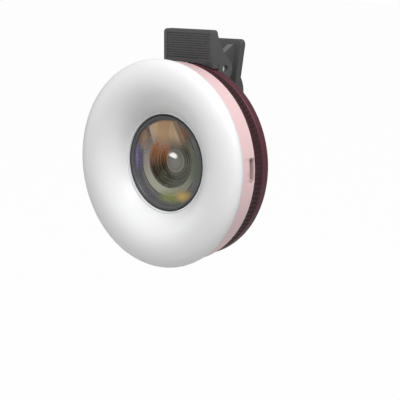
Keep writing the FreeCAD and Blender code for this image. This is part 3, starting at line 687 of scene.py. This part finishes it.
front_ring = turned("lens_front_ring", [
    (glass_r, ring_front + 0.05), (glass_r - 0.15, ring_front), (glass_r - 0.5, ring_front),
    (glass_r - 0.7, ring_front + 0.25), (glass_r - 0.7, ring_back), (glass_r, ring_back)],
    steps=160, width=0.03)
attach(front_ring, "light_unit")
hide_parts("wide_front_ring")
print("lens barrel:", len(barrel.data.polygons), "faces")

# %% Ridged cone behind the glass
RIDGES = 9
RIDGE_RISE = 0.07
cone = [(baffle_r, baffle_back), (baffle_r, baffle_front)]
for i in range(RIDGES):
    ridge = (baffle_r - SHELF_OUT) / RIDGES
    r = baffle_r - ridge * i
    cone += [(r - ridge * 0.45, baffle_front), (r - ridge * 0.55, baffle_front + RIDGE_RISE),
             (r - ridge * 0.9, baffle_front + RIDGE_RISE)]
cone += [(SHELF_OUT, baffle_front), (SHELF_OUT, baffle_front + SHELF_STEP),
         (SHELF_IN, baffle_front + SHELF_STEP), (SHELF_IN, baffle_front + 1.5),
         (7.5, baffle_front + 1.5), (7.5, baffle_front + 1.85), (7.0, baffle_front + 1.85),
         (7.0, baffle_front + 2.2), (6.3, baffle_front + 2.2), (6.3, baffle_back)]
ridged_cone = turned("lens_cone", cone, steps=160, width=0.02)
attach(ridged_cone, "light_unit")
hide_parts("lens_baffle")

rear_front, rear_back = span("wide_rear_glass", Y)
rear_glass = turned("lens_rear_glass",
                    dome(8.2, rear_front + 0.6, 0.6)[::-1] + [(rear_glass_r, rear_front + 0.6),
                                                             (rear_glass_r, rear_back - 0.3)]
                    + dome(8.2, rear_back - 0.3, -0.3), steps=128, width=0.0)
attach(rear_glass, "light_unit")
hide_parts("wide_rear_glass")

front_glass = turned("lens_front_glass",
                     dome(glass_r - FRONT_FLAT, ring_back, ring_back - glass_apex)[::-1]
                     + [(glass_r, ring_back), (glass_r, glass_back - GAP), (HOLLOW_R, glass_back - GAP)]
                     + dome(HOLLOW_R, glass_back - GAP, HOLLOW_DEPTH)[1:], steps=160, width=0.0)
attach(front_glass, "light_unit")
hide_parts("wide_front_glass")
print("lens pieces: barrel, ring, cone and two glasses")

# %% [markdown]
# The metal is black and fine-turned. The glass is clear and coated, and the reflections in its
# coating are painted on it as patches of colour: tan at the top, violet on the left and
# yellow-green below. They are soft spots on the face of the glass, which hide a little of what
# lies behind. The cone and the rear glass carry painted reflections and a painted highlight, and
# the front glass, the cone and the rear glass all glow a little, which is painted light. The glass
# bends the view, so the rings deep inside are painted about a line a little left of the axis.

# %% Lens finishes
black = Finish("black_anodised", roughness=0.38, metallic=0.2)
turning = black.node("TexNoise", {"noise_dimensions": "1D"}, {"W": black.radius(), "Scale": 9000.0})
black.set("Base Color", black.mix(turning, (0.012, 0.012, 0.013), (0.03, 0.03, 0.032)))
black.set("Roughness", turning * 0.15 + 0.3)
black.bump(turning, 0.00001)
# Painted light: inside the front ring the barrel is grey and glows a little, which lifts it out of its
# shade; the outer lip stays black.
barrel_glow = Finish("barrel_black_inner_glow", roughness=0.4, emission_strength=0.6)
outer = barrel_glow.radius().ramp(0.01490, 0.01500)
barrel_glow.set("Base Color", barrel_glow.mix(outer, (0.08, 0.081, 0.085), (0.012, 0.012, 0.013)))
barrel_glow.set("Emission Color", barrel_glow.mix(outer, (0.08, 0.081, 0.085), (0.0, 0.0, 0.0)))
barrel_glow.set("Roughness", barrel_glow.noise(500.0) * 0.1 + 0.34)
wear(barrel, barrel_glow)
ring_grey = Finish("ring_grey", roughness=0.4)
ring_tone = ring_grey.noise(500.0)
ring_grey.set("Base Color", ring_grey.mix(ring_tone, (0.085, 0.086, 0.09), (0.12, 0.12, 0.125)))
ring_grey.set("Roughness", ring_tone * 0.1 + 0.35)
wear(front_ring, ring_grey)


OFF_AXIS = -1.1


def deep_colours(finish):
    """Painted reflections in the deep disc, warm on the left and olive on the right, and a painted
    highlight, one bright crescent.
    """
    below = finish.across(0.916, -0.40, 3.9)
    right = below.math("MAXIMUM", finish.across(1.0, 0.0, 3.1)).ramp(-0.15, 0.15)
    warm = finish.mix(finish.across(0, 1).ramp(-3.5, 6.0), (0.018, 0.012, 0.006), (0.23, 0.09, 0.032))
    core = finish.radius(OFF_AXIS).ramp(0.0010, 0.0056)
    cool = finish.mix(core, (0.125, 0.120, 0.106), (0.028, 0.028, 0.016))
    tone = finish.mix(right, warm, cool)
    tone = finish.mix(finish.rings(0.85, OFF_AXIS) * 0.16, tone, (0.36, 0.32, 0.26))
    far = finish.radius(OFF_AXIS)
    inner = far.ramp(0.0033, 0.0034) - far.ramp(0.0036, 0.0037)
    tone = finish.mix(inner * 0.22, tone, (0.45, 0.45, 0.42))
    # Painted highlight: a bright crescent up and to the left of the middle.
    painted_highlight = finish.spot(-2.0, 1.5, 2.7, 1.7) - finish.spot(-2.7, 0.3, 2.2, 1.5)
    return finish.mix(painted_highlight.ramp(0.05, 0.7), tone, (0.82, 0.82, 0.78))


# Painted light: the cone glows with its own colours, so that its rings show out of the shade deep in the
# lens.
cone_finish = Finish("cone_grey", roughness=0.45, emission_strength=0.75)
r = cone_finish.radius(OFF_AXIS)
band = cone_finish.mix(cone_finish.rings(0.42) * 0.3, (0.078, 0.079, 0.080), (0.18, 0.18, 0.18))
# Painted reflections: the shelf is tinted lighter and greener low down, and dark olive towards the upper
# right.
low = cone_finish.across(0.3, -0.95).ramp(-8.0, 8.0)
shelf = cone_finish.mix(low, (0.165, 0.145, 0.135), (0.215, 0.215, 0.165))
shelf = cone_finish.mix(cone_finish.across(0.9, 0.44).ramp(0.0, 8.0), shelf, (0.070, 0.076, 0.050))
edge = 1.0 - r.ramp(0.01142, 0.01158)
tone = cone_finish.mix(edge, band, (0.012, 0.012, 0.012))
tone = cone_finish.mix(1.0 - r.ramp(0.01120, 0.01130), tone, shelf)
tone = cone_finish.mix(1.0 - r.ramp(0.00841, 0.00850), tone, deep_colours(cone_finish))
cone_finish.set("Base Color", tone)
cone_finish.set("Emission Color", tone)
cone_finish.set("Roughness", cone_finish.noise(600.0) * 0.1 + 0.4)
wear(ridged_cone, cone_finish)

# Painted light and reflections: the rear glass carries the painted reflections and highlight of the deep
# disc, and glows with them.
deep_glass = Finish("rear_glass_painted_reflections", roughness=0.06, ior=1.6, emission_strength=0.75)
tone = deep_colours(deep_glass)
deep_glass.set("Base Color", tone)
deep_glass.set("Emission Color", tone)
deep_glass.set("Roughness", deep_glass.noise(300.0) * 0.04 + 0.05)
wear(rear_glass, deep_glass)

front_reflections = Finish("front_glass_painted_reflections", roughness=0.05, ior=1.5, emission_strength=0.25)
# Painted reflections: a tan wedge of window light at the top with a lighter band in it, and soft coloured
# spots round it, all painted on the glass. The glass also glows a little with them as painted light.
window_reflection = front_reflections.across(0.871, 0.491, 1.5).ramp(-0.3, 0.5)
window_reflection = window_reflection * front_reflections.across(-0.852, -0.523, 9.27).ramp(-0.2, 0.5)
window_reflection = window_reflection * front_reflections.across(0, 1).ramp(2.5, 10.0) * (1.0 - front_reflections.radius().ramp(0.0132, 0.0138))
left_reflection = front_reflections.spot(-10.2, 7.4, 4.6, 6.8)
right_reflection = front_reflections.spot(6.9, 10.2, 3.8, 5.4)
violet = front_reflections.spot(-12.9, 0.8, 2.0, 8.0)
green = front_reflections.spot(0.4, -11.4, 7.5, 3.4)
gold_reflection = front_reflections.spot(6.6, -10.4, 5.2, 3.6)
moss_reflection = front_reflections.spot(11.8, -2.0, 4.6, 11.0) + front_reflections.spot(5.0, -7.0, 6.5, 5.5) * 0.6
colour = front_reflections.mix(moss_reflection, (0.12, 0.12, 0.13), (0.10, 0.125, 0.085))
colour = front_reflections.mix(left_reflection, colour, (0.30, 0.16, 0.075))
colour = front_reflections.mix(right_reflection, colour, (0.24, 0.11, 0.05))
reflection_stripe = front_reflections.across(1, 0, -0.5).ramp(0.5, 1.2) - front_reflections.across(1, 0, -0.5).ramp(5.0, 5.4)
colour = front_reflections.mix(window_reflection, colour, front_reflections.mix(reflection_stripe * 0.5, (0.42, 0.27, 0.15), (0.50, 0.38, 0.26)))
colour = front_reflections.mix(violet, colour, (0.20, 0.15, 0.34))
colour = front_reflections.mix(green, colour, (0.22, 0.26, 0.05))
colour = front_reflections.mix(gold_reflection, colour, (0.52, 0.36, 0.10))
front_reflections.set("Base Color", colour)
front_reflections.set("Emission Color", colour)
cover = window_reflection * 0.75 + left_reflection * 0.6 + right_reflection * 0.5 + violet * 0.6 + moss_reflection * 0.4
cover = cover + green * 0.5 + gold_reflection * 0.55
front_reflections.set("Alpha", (cover + 0.01).clamp())
wear(front_glass, front_reflections)
print("lens finishes: 4")

# %% [markdown]
# ## The clip
#
# Two moulded levers turn on a steel pin, and a torsion spring holds the jaws shut. The front
# arm is joined from a ribbed lever, two cheeks with round bosses, and the plate with the eye
# that holds the lens. The pieces are joined first and their edges softened after, so that the
# same small radius runs over every corner. The foot of the lever is hollowed to the round of
# the housing, and the finger ribs are cut last.

# %% Clip places
hinge = next(j for j in frame["joints"] if j["name"] == "clip_hinge")
pin_y = hinge["pos_m"][Y] / MM
pin_z = hinge["pos_m"][Z] / MM
half = span("rear_clip_arm", X)[1]
lever_front = span("front_clip_arm", Y)[0]
lever_top = span("front_clip_arm", Z)[1]
eye_r = span("front_clip_arm", X)[1]
BOSS_R = 3.4
LEVER = 2.6
LEVER_HEIGHT = 10.4
CHEEK = 2.0
jaw_front = pin_y - BOSS_R
jaw_back = span("front_pad", Y)[0]
lever_bottom = lever_top - LEVER_HEIGHT
plate_top = pin_z - BOSS_R - 0.1
PIN_HOLE = 1.3
print("pin at", round(pin_y, 2), round(pin_z, 2))


def grooves(name, face_y, top_z, bottom_z, lean, half_width):
    """Row of thin bars that cut level ribs into a lever."""
    pitch = 0.76
    count = int((top_z - bottom_z - 1.4) / pitch)
    cutter = bar(name, (-half_width, face_y - 0.26, top_z - 1.5),
                 (half_width, face_y + 0.26, top_z - 1.14), 0)
    apply(cutter, "ARRAY", count=count, use_relative_offset=False, use_constant_offset=True,
          constant_offset_displace=(0, -lean * pitch * MM, -pitch * MM))
    return cutter


# %% Front arm
front_arm = bar("front_arm", (-half, lever_front, lever_bottom - 2.0),
                (half, lever_front + LEVER, lever_top), 0)
drum_room = turned("drum_room", [(0.0, lever_front - 1), (lever_bottom, lever_front - 1),
                                 (lever_bottom, jaw_front), (0.0, jaw_front)], steps=160)
carve(front_arm, drum_room)
alone(front_arm)
bpy.ops.object.mode_set(mode="EDIT")
select_edges(front_arm, lambda a, b: abs(a.y - b.y) > MM and a.z > (lever_top - 0.1) * MM)
bpy.ops.mesh.bevel(offset=1.3 * MM, segments=8, affect="EDGES")
bpy.ops.object.mode_set(mode="OBJECT")

slope = math.radians(42.0)
boss_arc = [(pin_y + BOSS_R * math.cos(a), pin_z + BOSS_R * math.sin(a))
            for a in [slope - i * (slope + math.radians(180)) / 26 for i in range(27)]]
cheek_outline = [(lever_front, lever_bottom), (lever_front, lever_top - 1.6),
                 (lever_front + LEVER, lever_top - 1.6), (jaw_front + 2.3, 35.0)]
cheek_outline += boss_arc[:-1]
cheek_outline += [(jaw_front, pin_z), (jaw_front, lever_bottom)]
for side, x0, x1 in (("left", -half, -half + CHEEK), ("right", half - CHEEK, half)):
    carve(front_arm, prism("cheek_" + side, cheek_outline, x0, x1), "UNION")
plate = bar("jaw_plate", (-half, jaw_front, 0.0), (half, jaw_back, plate_top), 0)
strip = 2.0
for x0, x1 in ((-half, -half + strip), (half - strip, half)):
    carve(plate, bar("strip", (x0, jaw_front, plate_top - 2), (x1, jaw_back, lever_bottom - 0.2), 0),
          "UNION")
carve(front_arm, plate, "UNION")
eye = turned("eye", [(0.0, jaw_front), (eye_r, jaw_front), (eye_r, jaw_back), (0.0, jaw_back)],
             steps=96)
carve(front_arm, eye, "UNION")
thread_hole = turned("thread_hole", [(0.0, jaw_front - 1), (8.55, jaw_front - 1),
                                     (8.55, jaw_back + 1), (0.0, jaw_back + 1)], steps=96)
carve(front_arm, thread_hole)
carve(front_arm, rod("pin_hole", PIN_HOLE, -half - 1, half + 1, pin_y, pin_z, 32))
soften(clean(front_arm), 0.4 * MM, segments=3, angle=40.0)
carve(front_arm, grooves("front_ribs", lever_front, lever_top, lever_bottom, 0.0, half - 1.2),
      solver="FAST")
soften(front_arm, 0)
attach(front_arm, "clip_front")
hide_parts("front_clip_arm")
print("front arm:", len(front_arm.data.polygons), "faces")

# %% [markdown]
# The rear arm is one bent plate: a lever that leans back, a waist, a bulge that clears the edge
# of what it grips, and a flat jaw. Its bulge is an arc through three points. Two ears reach
# forward between the cheeks to the pin.

# %% Rear arm
REAR = 2.5
TIP_Z = span("rear_clip_arm", Z)[0]
SEAT_Y = span("rear_pad", Y)[1]


def from_pin(y, z, inset=0.0):
    return (pin_y + y - inset, pin_z + z)


def arc_through(a, b, c, steps):
    """Points on the circle through three points, from the first to the last."""
    (ax, ay), (bx, by), (cx, cy) = a, b, c
    d = 2 * (ax * (by - cy) + bx * (cy - ay) + cx * (ay - by))
    a2, b2, c2 = ax * ax + ay * ay, bx * bx + by * by, cx * cx + cy * cy
    ox = (a2 * (by - cy) + b2 * (cy - ay) + c2 * (ay - by)) / d
    oy = (a2 * (cx - bx) + b2 * (ax - cx) + c2 * (bx - ax)) / d
    radius = math.hypot(ax - ox, ay - oy)
    first = math.atan2(ay - oy, ax - ox)
    last = math.atan2(cy - oy, cx - ox)
    return [(ox + radius * math.cos(first + (last - first) * i / steps),
             oy + radius * math.sin(first + (last - first) * i / steps)) for i in range(steps + 1)]


rear_outline = [from_pin(10.4, 8.9)]
rear_outline += arc_through(from_pin(7.8, -3.2), from_pin(9.0, -6.0), from_pin(7.8, -12.6), 14)
rear_outline += [(SEAT_Y + REAR, 8.5), (SEAT_Y + REAR, TIP_Z), (SEAT_Y, TIP_Z), (SEAT_Y, 8.5),
                 from_pin(7.8, -12.6, REAR), from_pin(7.8, -3.2, REAR), from_pin(10.4, 8.9, REAR)]
rear_arm = prism("rear_arm", rear_outline, -half, half)
alone(rear_arm)
bpy.ops.object.mode_set(mode="EDIT")
select_edges(rear_arm, lambda a, b: abs(a.x - b.x) < MM / 10 and max(a.z, b.z) < (TIP_Z + 0.1) * MM)
bpy.ops.mesh.bevel(offset=6.0 * MM, segments=10, affect="EDGES")
select_edges(rear_arm, lambda a, b: abs(a.x - b.x) < MM / 10
             and min(a.z, b.z) > from_pin(0, 8.8)[1] * MM)
bpy.ops.mesh.bevel(offset=1.9 * MM, segments=8, affect="EDGES")
bpy.ops.object.mode_set(mode="OBJECT")

ear_out = half - CHEEK - 0.25
ear_outline = [from_pin(6.4, 7.4), from_pin(2.2, 5.3), from_pin(-1.3, 0.0), from_pin(0.0, -2.6),
               from_pin(5.8, -5.0), from_pin(7.8, -3.2, REAR / 2), from_pin(10.4, 7.4, REAR)]
for side, x0, x1 in (("left", -ear_out, -ear_out + 2.0), ("right", ear_out - 2.0, ear_out)):
    ear = prism("ear_" + side, ear_outline, x0, x1)
    carve(ear, rod("ear_boss", 2.6, x0, x1, pin_y, pin_z), "UNION")
    carve(rear_arm, ear, "UNION")
carve(rear_arm, rod("rear_hole", PIN_HOLE, -half, half, pin_y, pin_z, 32))
soften(clean(rear_arm), 0.5 * MM, segments=4, angle=40.0)
lean = (10.4 - 7.8) / (8.9 + 3.2)
carve(rear_arm, grooves("rear_ribs", pin_y + 10.4 - lean * 1.25, pin_z + 8.9, pin_z, lean, half - 1.2))
soften(rear_arm, 0)
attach(rear_arm, "clip_rear")
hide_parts("rear_clip_arm")
print("rear arm:", len(rear_arm.data.polygons), "faces")

# %% [markdown]
# The clip's plastic is a dark grey with a fine moulded grain. The rear arm is painted a little
# darker, as painted shade, and a painted highlight runs along the sloping top edges of its ears.

# %% Clip finish
def clip_plastic(name, low, high):
    """Grained plastic between two tones. Returns the finish and its colour."""
    finish = Finish(name, roughness=0.5, specular_ior_level=0.45)
    grain = finish.noise(2600.0, 4.0, 0.6)
    plain_tone = finish.mix(finish.noise(90.0, 2.0), low, high)
    finish.set("Base Color", plain_tone)
    finish.set("Roughness", grain * 0.16 + 0.42)
    finish.bump(grain, 0.00003)
    return finish, plain_tone


EAR_SLOPE = 0.5
clip_grey, _ = clip_plastic("clip_grey_plastic", (0.072, 0.073, 0.074), (0.095, 0.096, 0.097))
# Painted shade: the rear arm is the same plastic as the front arm, painted a darker copy for the shade it
# stands in.
rear_shaded_grey, rear_shaded_tone = clip_plastic("rear_arm_plastic_painted_shade", (0.060, 0.061, 0.062), (0.080, 0.081, 0.082))
# Painted highlight: a lighter strip along the sloping top edges of the ears, only near the pin.
height = rear_shaded_grey.axis(Z) - rear_shaded_grey.axis(Y) * EAR_SLOPE
ear_y, ear_z = from_pin(2.2, 5.3)
ear_height = ear_z - ear_y * EAR_SLOPE
ear_highlight = height.ramp((ear_height - 0.5) * MM, (ear_height - 0.1) * MM)
inside = 1.0 - rear_shaded_grey.axis(Y).ramp((pin_y + 6.0) * MM, (pin_y + 7.0) * MM)
rear_shaded_grey.set("Base Color", rear_shaded_grey.mix(ear_highlight * inside, rear_shaded_tone, (0.15, 0.15, 0.15)))
wear(front_arm, clip_grey)
wear(rear_arm, rear_shaded_grey)
print("finish:", clip_grey.material.name)

# %% [markdown]
# ## Pin and spring
#
# The pin has domed ends and is set back a little in its holes. The spring starts as one ring of
# the wire's thickness, which Screw winds round the pin, and the two end rings are then pulled
# out straight to make the legs.

# %% Pin and spring
PIN_SETBACK = 0.9
pin_half = span("pivot_pin", X)[1] - PIN_SETBACK
pin_r = 1.25
pin_outline = [(0.0, -pin_half), (pin_r - 0.45, -pin_half), (pin_r - 0.12, -pin_half + 0.12),
               (pin_r, -pin_half + 0.45)]
pin_outline += [(r_, -y_) for r_, y_ in pin_outline[::-1]]
pin = draw("steel_pin", [(y_ * MM, r_ * MM, 0) for r_, y_ in pin_outline], closed=False)
bpy.ops.mesh.spin(steps=48, angle=2 * math.pi, center=(0, 0, 0), axis=(1, 0, 0))
bpy.ops.mesh.select_all(action="SELECT")
bpy.ops.transform.translate(value=(0, pin_y * MM, pin_z * MM))
outward()
soften(pin, 0)
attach(pin, "clip_front")
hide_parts("pivot_pin")

WIRE = 0.45
COIL_R = 2.0
PITCH = 1.15
TURNS = 4 + (45.0 + 78.0) / 360.0
FIRST = math.radians(-78.0)
FRONT_LEG = 5.6
REAR_LEG = 6.6
pivot = Vector((0, pin_y, pin_z)) * MM
coil_half = PITCH * TURNS / 2

bpy.ops.object.select_all(action="DESELECT")
bpy.ops.mesh.primitive_circle_add(vertices=14, radius=WIRE * MM, location=(0, 0, 0))
spring = bpy.context.active_object
spring.name = "torsion_coil"
bpy.ops.object.mode_set(mode="EDIT")
bpy.ops.mesh.select_all(action="SELECT")
bpy.ops.transform.translate(value=(-coil_half * MM, COIL_R * MM, 0))
bpy.ops.object.mode_set(mode="OBJECT")
apply(spring, "SCREW", axis="X", angle=TURNS * 2 * math.pi, screw_offset=2 * coil_half * MM,
      steps=130, render_steps=130, iterations=1)
bpy.ops.object.mode_set(mode="EDIT")
bpy.ops.mesh.select_all(action="SELECT")
bpy.ops.transform.rotate(value=-(FIRST - math.pi / 2), orient_axis="X", center_override=(0, 0, 0))
bpy.ops.transform.translate(value=pivot)


def pull_leg(side, angle, length):
    """Draws the end ring of the coil straight on along the wire, and closes it."""
    centre = pivot + Vector((side * coil_half, COIL_R * math.sin(angle), -COIL_R * math.cos(angle))) * MM
    rise = PITCH / (2 * math.pi * COIL_R)
    way = Vector((rise, math.cos(angle), math.sin(angle))).normalized() * side

    def in_ring(place):
        offset = place - centre
        return offset.length < WIRE * 1.1 * MM and abs(offset.dot(way)) < WIRE * 0.3 * MM
    select_points(spring, in_ring)
    count = spring.data.total_vert_sel
    bpy.ops.mesh.extrude_region_move(TRANSFORM_OT_translate={"value": way * length * MM})
    bpy.ops.mesh.edge_face_add()
    return count


LAST = FIRST + TURNS * 2 * math.pi
print("leg rings:", pull_leg(-1, FIRST, FRONT_LEG), pull_leg(1, LAST, REAR_LEG))
outward()
soften(spring, 0)
pin_y * MM
pin_z * MM
pin_y * MM
pin_z * MM
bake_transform(spring)
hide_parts("torsion_spring")

# Painted light: the pin's steel glows a little, so that its end shows bright in its hole.
steel = Finish("bright_steel_painted_glow", metallic=0.6, roughness=0.25, emission_strength=0.35)
drawn = steel.noise(500.0, 3.0)
steel_tone = steel.mix(drawn, (0.80, 0.80, 0.81), (0.92, 0.92, 0.92))
steel.set("Base Color", steel_tone)
steel.set("Emission Color", steel_tone)
steel.set("Roughness", drawn * 0.15 + 0.2)
wear(pin, steel)
dark_steel = Finish("blued_spring_steel", metallic=0.9, roughness=0.45)
oiled = dark_steel.noise(400.0, 3.0)
dark_steel.set("Base Color", dark_steel.mix(oiled, (0.06, 0.06, 0.065), (0.11, 0.11, 0.115)))
dark_steel.set("Roughness", oiled * 0.15 + 0.4)
wear(spring, dark_steel)
print("spring:", len(spring.data.polygons), "faces")

# %% [markdown]
# ## Pads, port, button and close-up lens
#
# Small pieces still get soft edges. The front pad is a turned ring, the rear pad a rounded
# tile. The button is a bar with rounded ends whose top is rolled over. The port's shell is a
# hollow bar with the contact tongue inside.

# %% Pads
pad_r = span("front_pad", X)[1]
front_pad = turned("front_pad_rubber", [(pad_r, jaw_back), (pad_r, 0.0), (9.6, 0.0),
                                        (9.6, jaw_back)], steps=128, width=0.2)
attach(front_pad, "clip_front")
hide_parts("front_pad")
pad_low, pad_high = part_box("rear_pad")
rear_pad = bar("rear_pad_rubber", [v / MM for v in pad_low], [v / MM for v in pad_high], 4.0, Y)
soften(rear_pad, 0.2 * MM)
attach(rear_pad, "clip_rear")
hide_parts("rear_pad")

rubber = Finish("pad_rubber", roughness=0.8, specular_ior_level=0.3)
dust = rubber.noise(400.0, 4.0)
rubber.set("Base Color", rubber.mix(dust, (0.018, 0.018, 0.018), (0.035, 0.035, 0.035)))
rubber.set("Roughness", dust * 0.15 + 0.7)
rubber.bump(rubber.noise(3000.0, 2.0), 0.00004)
for piece in (front_pad, rear_pad):
    wear(piece, rubber)
print("pads:", front_pad.name, rear_pad.name)

# %% Button and port
face_x = button_low.x / MM
button = bar("power_key", (face_x, button_low.y / MM + 0.35, button_low.z / MM + 0.35),
             (-29.45, button_high.y / MM - 0.35, button_high.z / MM - 0.35), 1.05)
soften(button, 0.22 * MM)
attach(button, "button")
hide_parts("power_button")
wear(button, pink)

socket_shell = bar("port_shell", [v / MM for v in port_low], [v / MM for v in port_high], 0.9)
room = bar("port_room", (port_low.x / MM + 0.7, port_low.y / MM + 0.35, port_low.z / MM + 0.35),
           (port_high.x / MM + 1.0, port_high.y / MM - 0.35, port_high.z / MM - 0.35), 0.6)
carve(socket_shell, room)
tongue_y = (port_low.y + port_high.y) / 2 / MM
tongue = bar("port_tongue", (port_low.x / MM + 0.3, tongue_y - 0.25, -2.2),
             (port_high.x / MM - 0.7, tongue_y + 0.25, 2.2), 0.1, Z)
carve(socket_shell, tongue, "UNION")
soften(socket_shell, 0.05 * MM, segments=2)
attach(socket_shell, "light_unit")
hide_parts("charging_socket")
# Painted light: the port's metal glows faintly, so that its inside shows lighter than the shade in the
# slot.
port_steel_glow = Finish("port_steel_glow", metallic=0.3, roughness=0.4, emission_strength=0.07)
worn = port_steel_glow.noise(900.0, 3.0)
shell_tone = port_steel_glow.mix(worn, (0.42, 0.33, 0.31), (0.56, 0.46, 0.44))
port_steel_glow.set("Base Color", shell_tone)
port_steel_glow.set("Emission Color", shell_tone)
port_steel_glow.set("Roughness", worn * 0.2 + 0.32)
wear(socket_shell, port_steel_glow)
print("button and port done")

# %% Close-up lens
macro_front, macro_back = span("macro_barrel", Y)
flange_r = span("macro_barrel", X)[1]
close_up = turned("close_up_barrel", [
    (3.6, macro_front), (9.6, macro_front), (9.6, -6.6), (flange_r, -6.6), (flange_r, -4.05),
    (8.5, -4.05), (8.5, macro_back), (7.2, macro_back), (7.2, -3.5), (6.4, -3.5), (6.4, -8.0),
    (3.6, macro_front + 0.1)], steps=128, width=0.08)
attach(close_up, "close_up_lens")
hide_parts("macro_barrel")
wear(close_up, black)
clear_lens = Finish("close_up_glass", roughness=0.05, ior=1.5)
# Painted reflection: a soft violet spot of the coating's reflection, a little right of and above the
# middle.
clear_lens.set("Base Color", clear_lens.mix(clear_lens.spot(1.5, 2.0, 5.0, 5.0),
                                            (0.10, 0.12, 0.16), (0.25, 0.20, 0.42)))
clear_lens.set("Alpha", clear_lens.noise(120.0) * 0.06 + 0.45)
wear(frame["nodes"]["macro_glass"], clear_lens)
wear(frame["nodes"]["macro_ring"], black)
print("close-up lens done")

# %% [markdown]
# ## The pieces inside
#
# The board, its lamps and the battery can't be seen in the closed light, but each still gets
# its own finish, because the part may be taken apart.

# %% Inner finishes
def mottled(name, low, high, scale, **fixed):
    """Plain inner finish: two close tones and an uneven gloss."""
    finish = Finish(name, **fixed)
    tone_ = finish.noise(scale, 3.0)
    finish.set("Base Color", finish.mix(tone_, low, high))
    finish.set("Roughness", tone_ * 0.2 + fixed.get("roughness", 0.5) - 0.1)
    return finish


inner = {
    "led_board": mottled("board_white", (0.70, 0.72, 0.70), (0.80, 0.81, 0.79), 200.0, roughness=0.4),
    "leds": mottled("led_phosphor", (0.85, 0.72, 0.25), (0.92, 0.82, 0.40), 900.0, roughness=0.5),
    "board_parts": mottled("chip_black", (0.015, 0.015, 0.016), (0.03, 0.03, 0.03), 700.0, roughness=0.5),
    "board_screws": mottled("screw_steel", (0.5, 0.5, 0.5), (0.65, 0.65, 0.65), 500.0,
                            metallic=1.0, roughness=0.3),
    "battery": mottled("battery_foil", (0.55, 0.56, 0.58), (0.68, 0.69, 0.7), 150.0,
                       metallic=0.8, roughness=0.4),
    "tact_switch": mottled("switch_black", (0.02, 0.02, 0.02), (0.04, 0.04, 0.04), 600.0, roughness=0.5),
}
for node, finish in inner.items():
    wear(frame["nodes"][node], finish)
print("inner finishes:", len(inner))
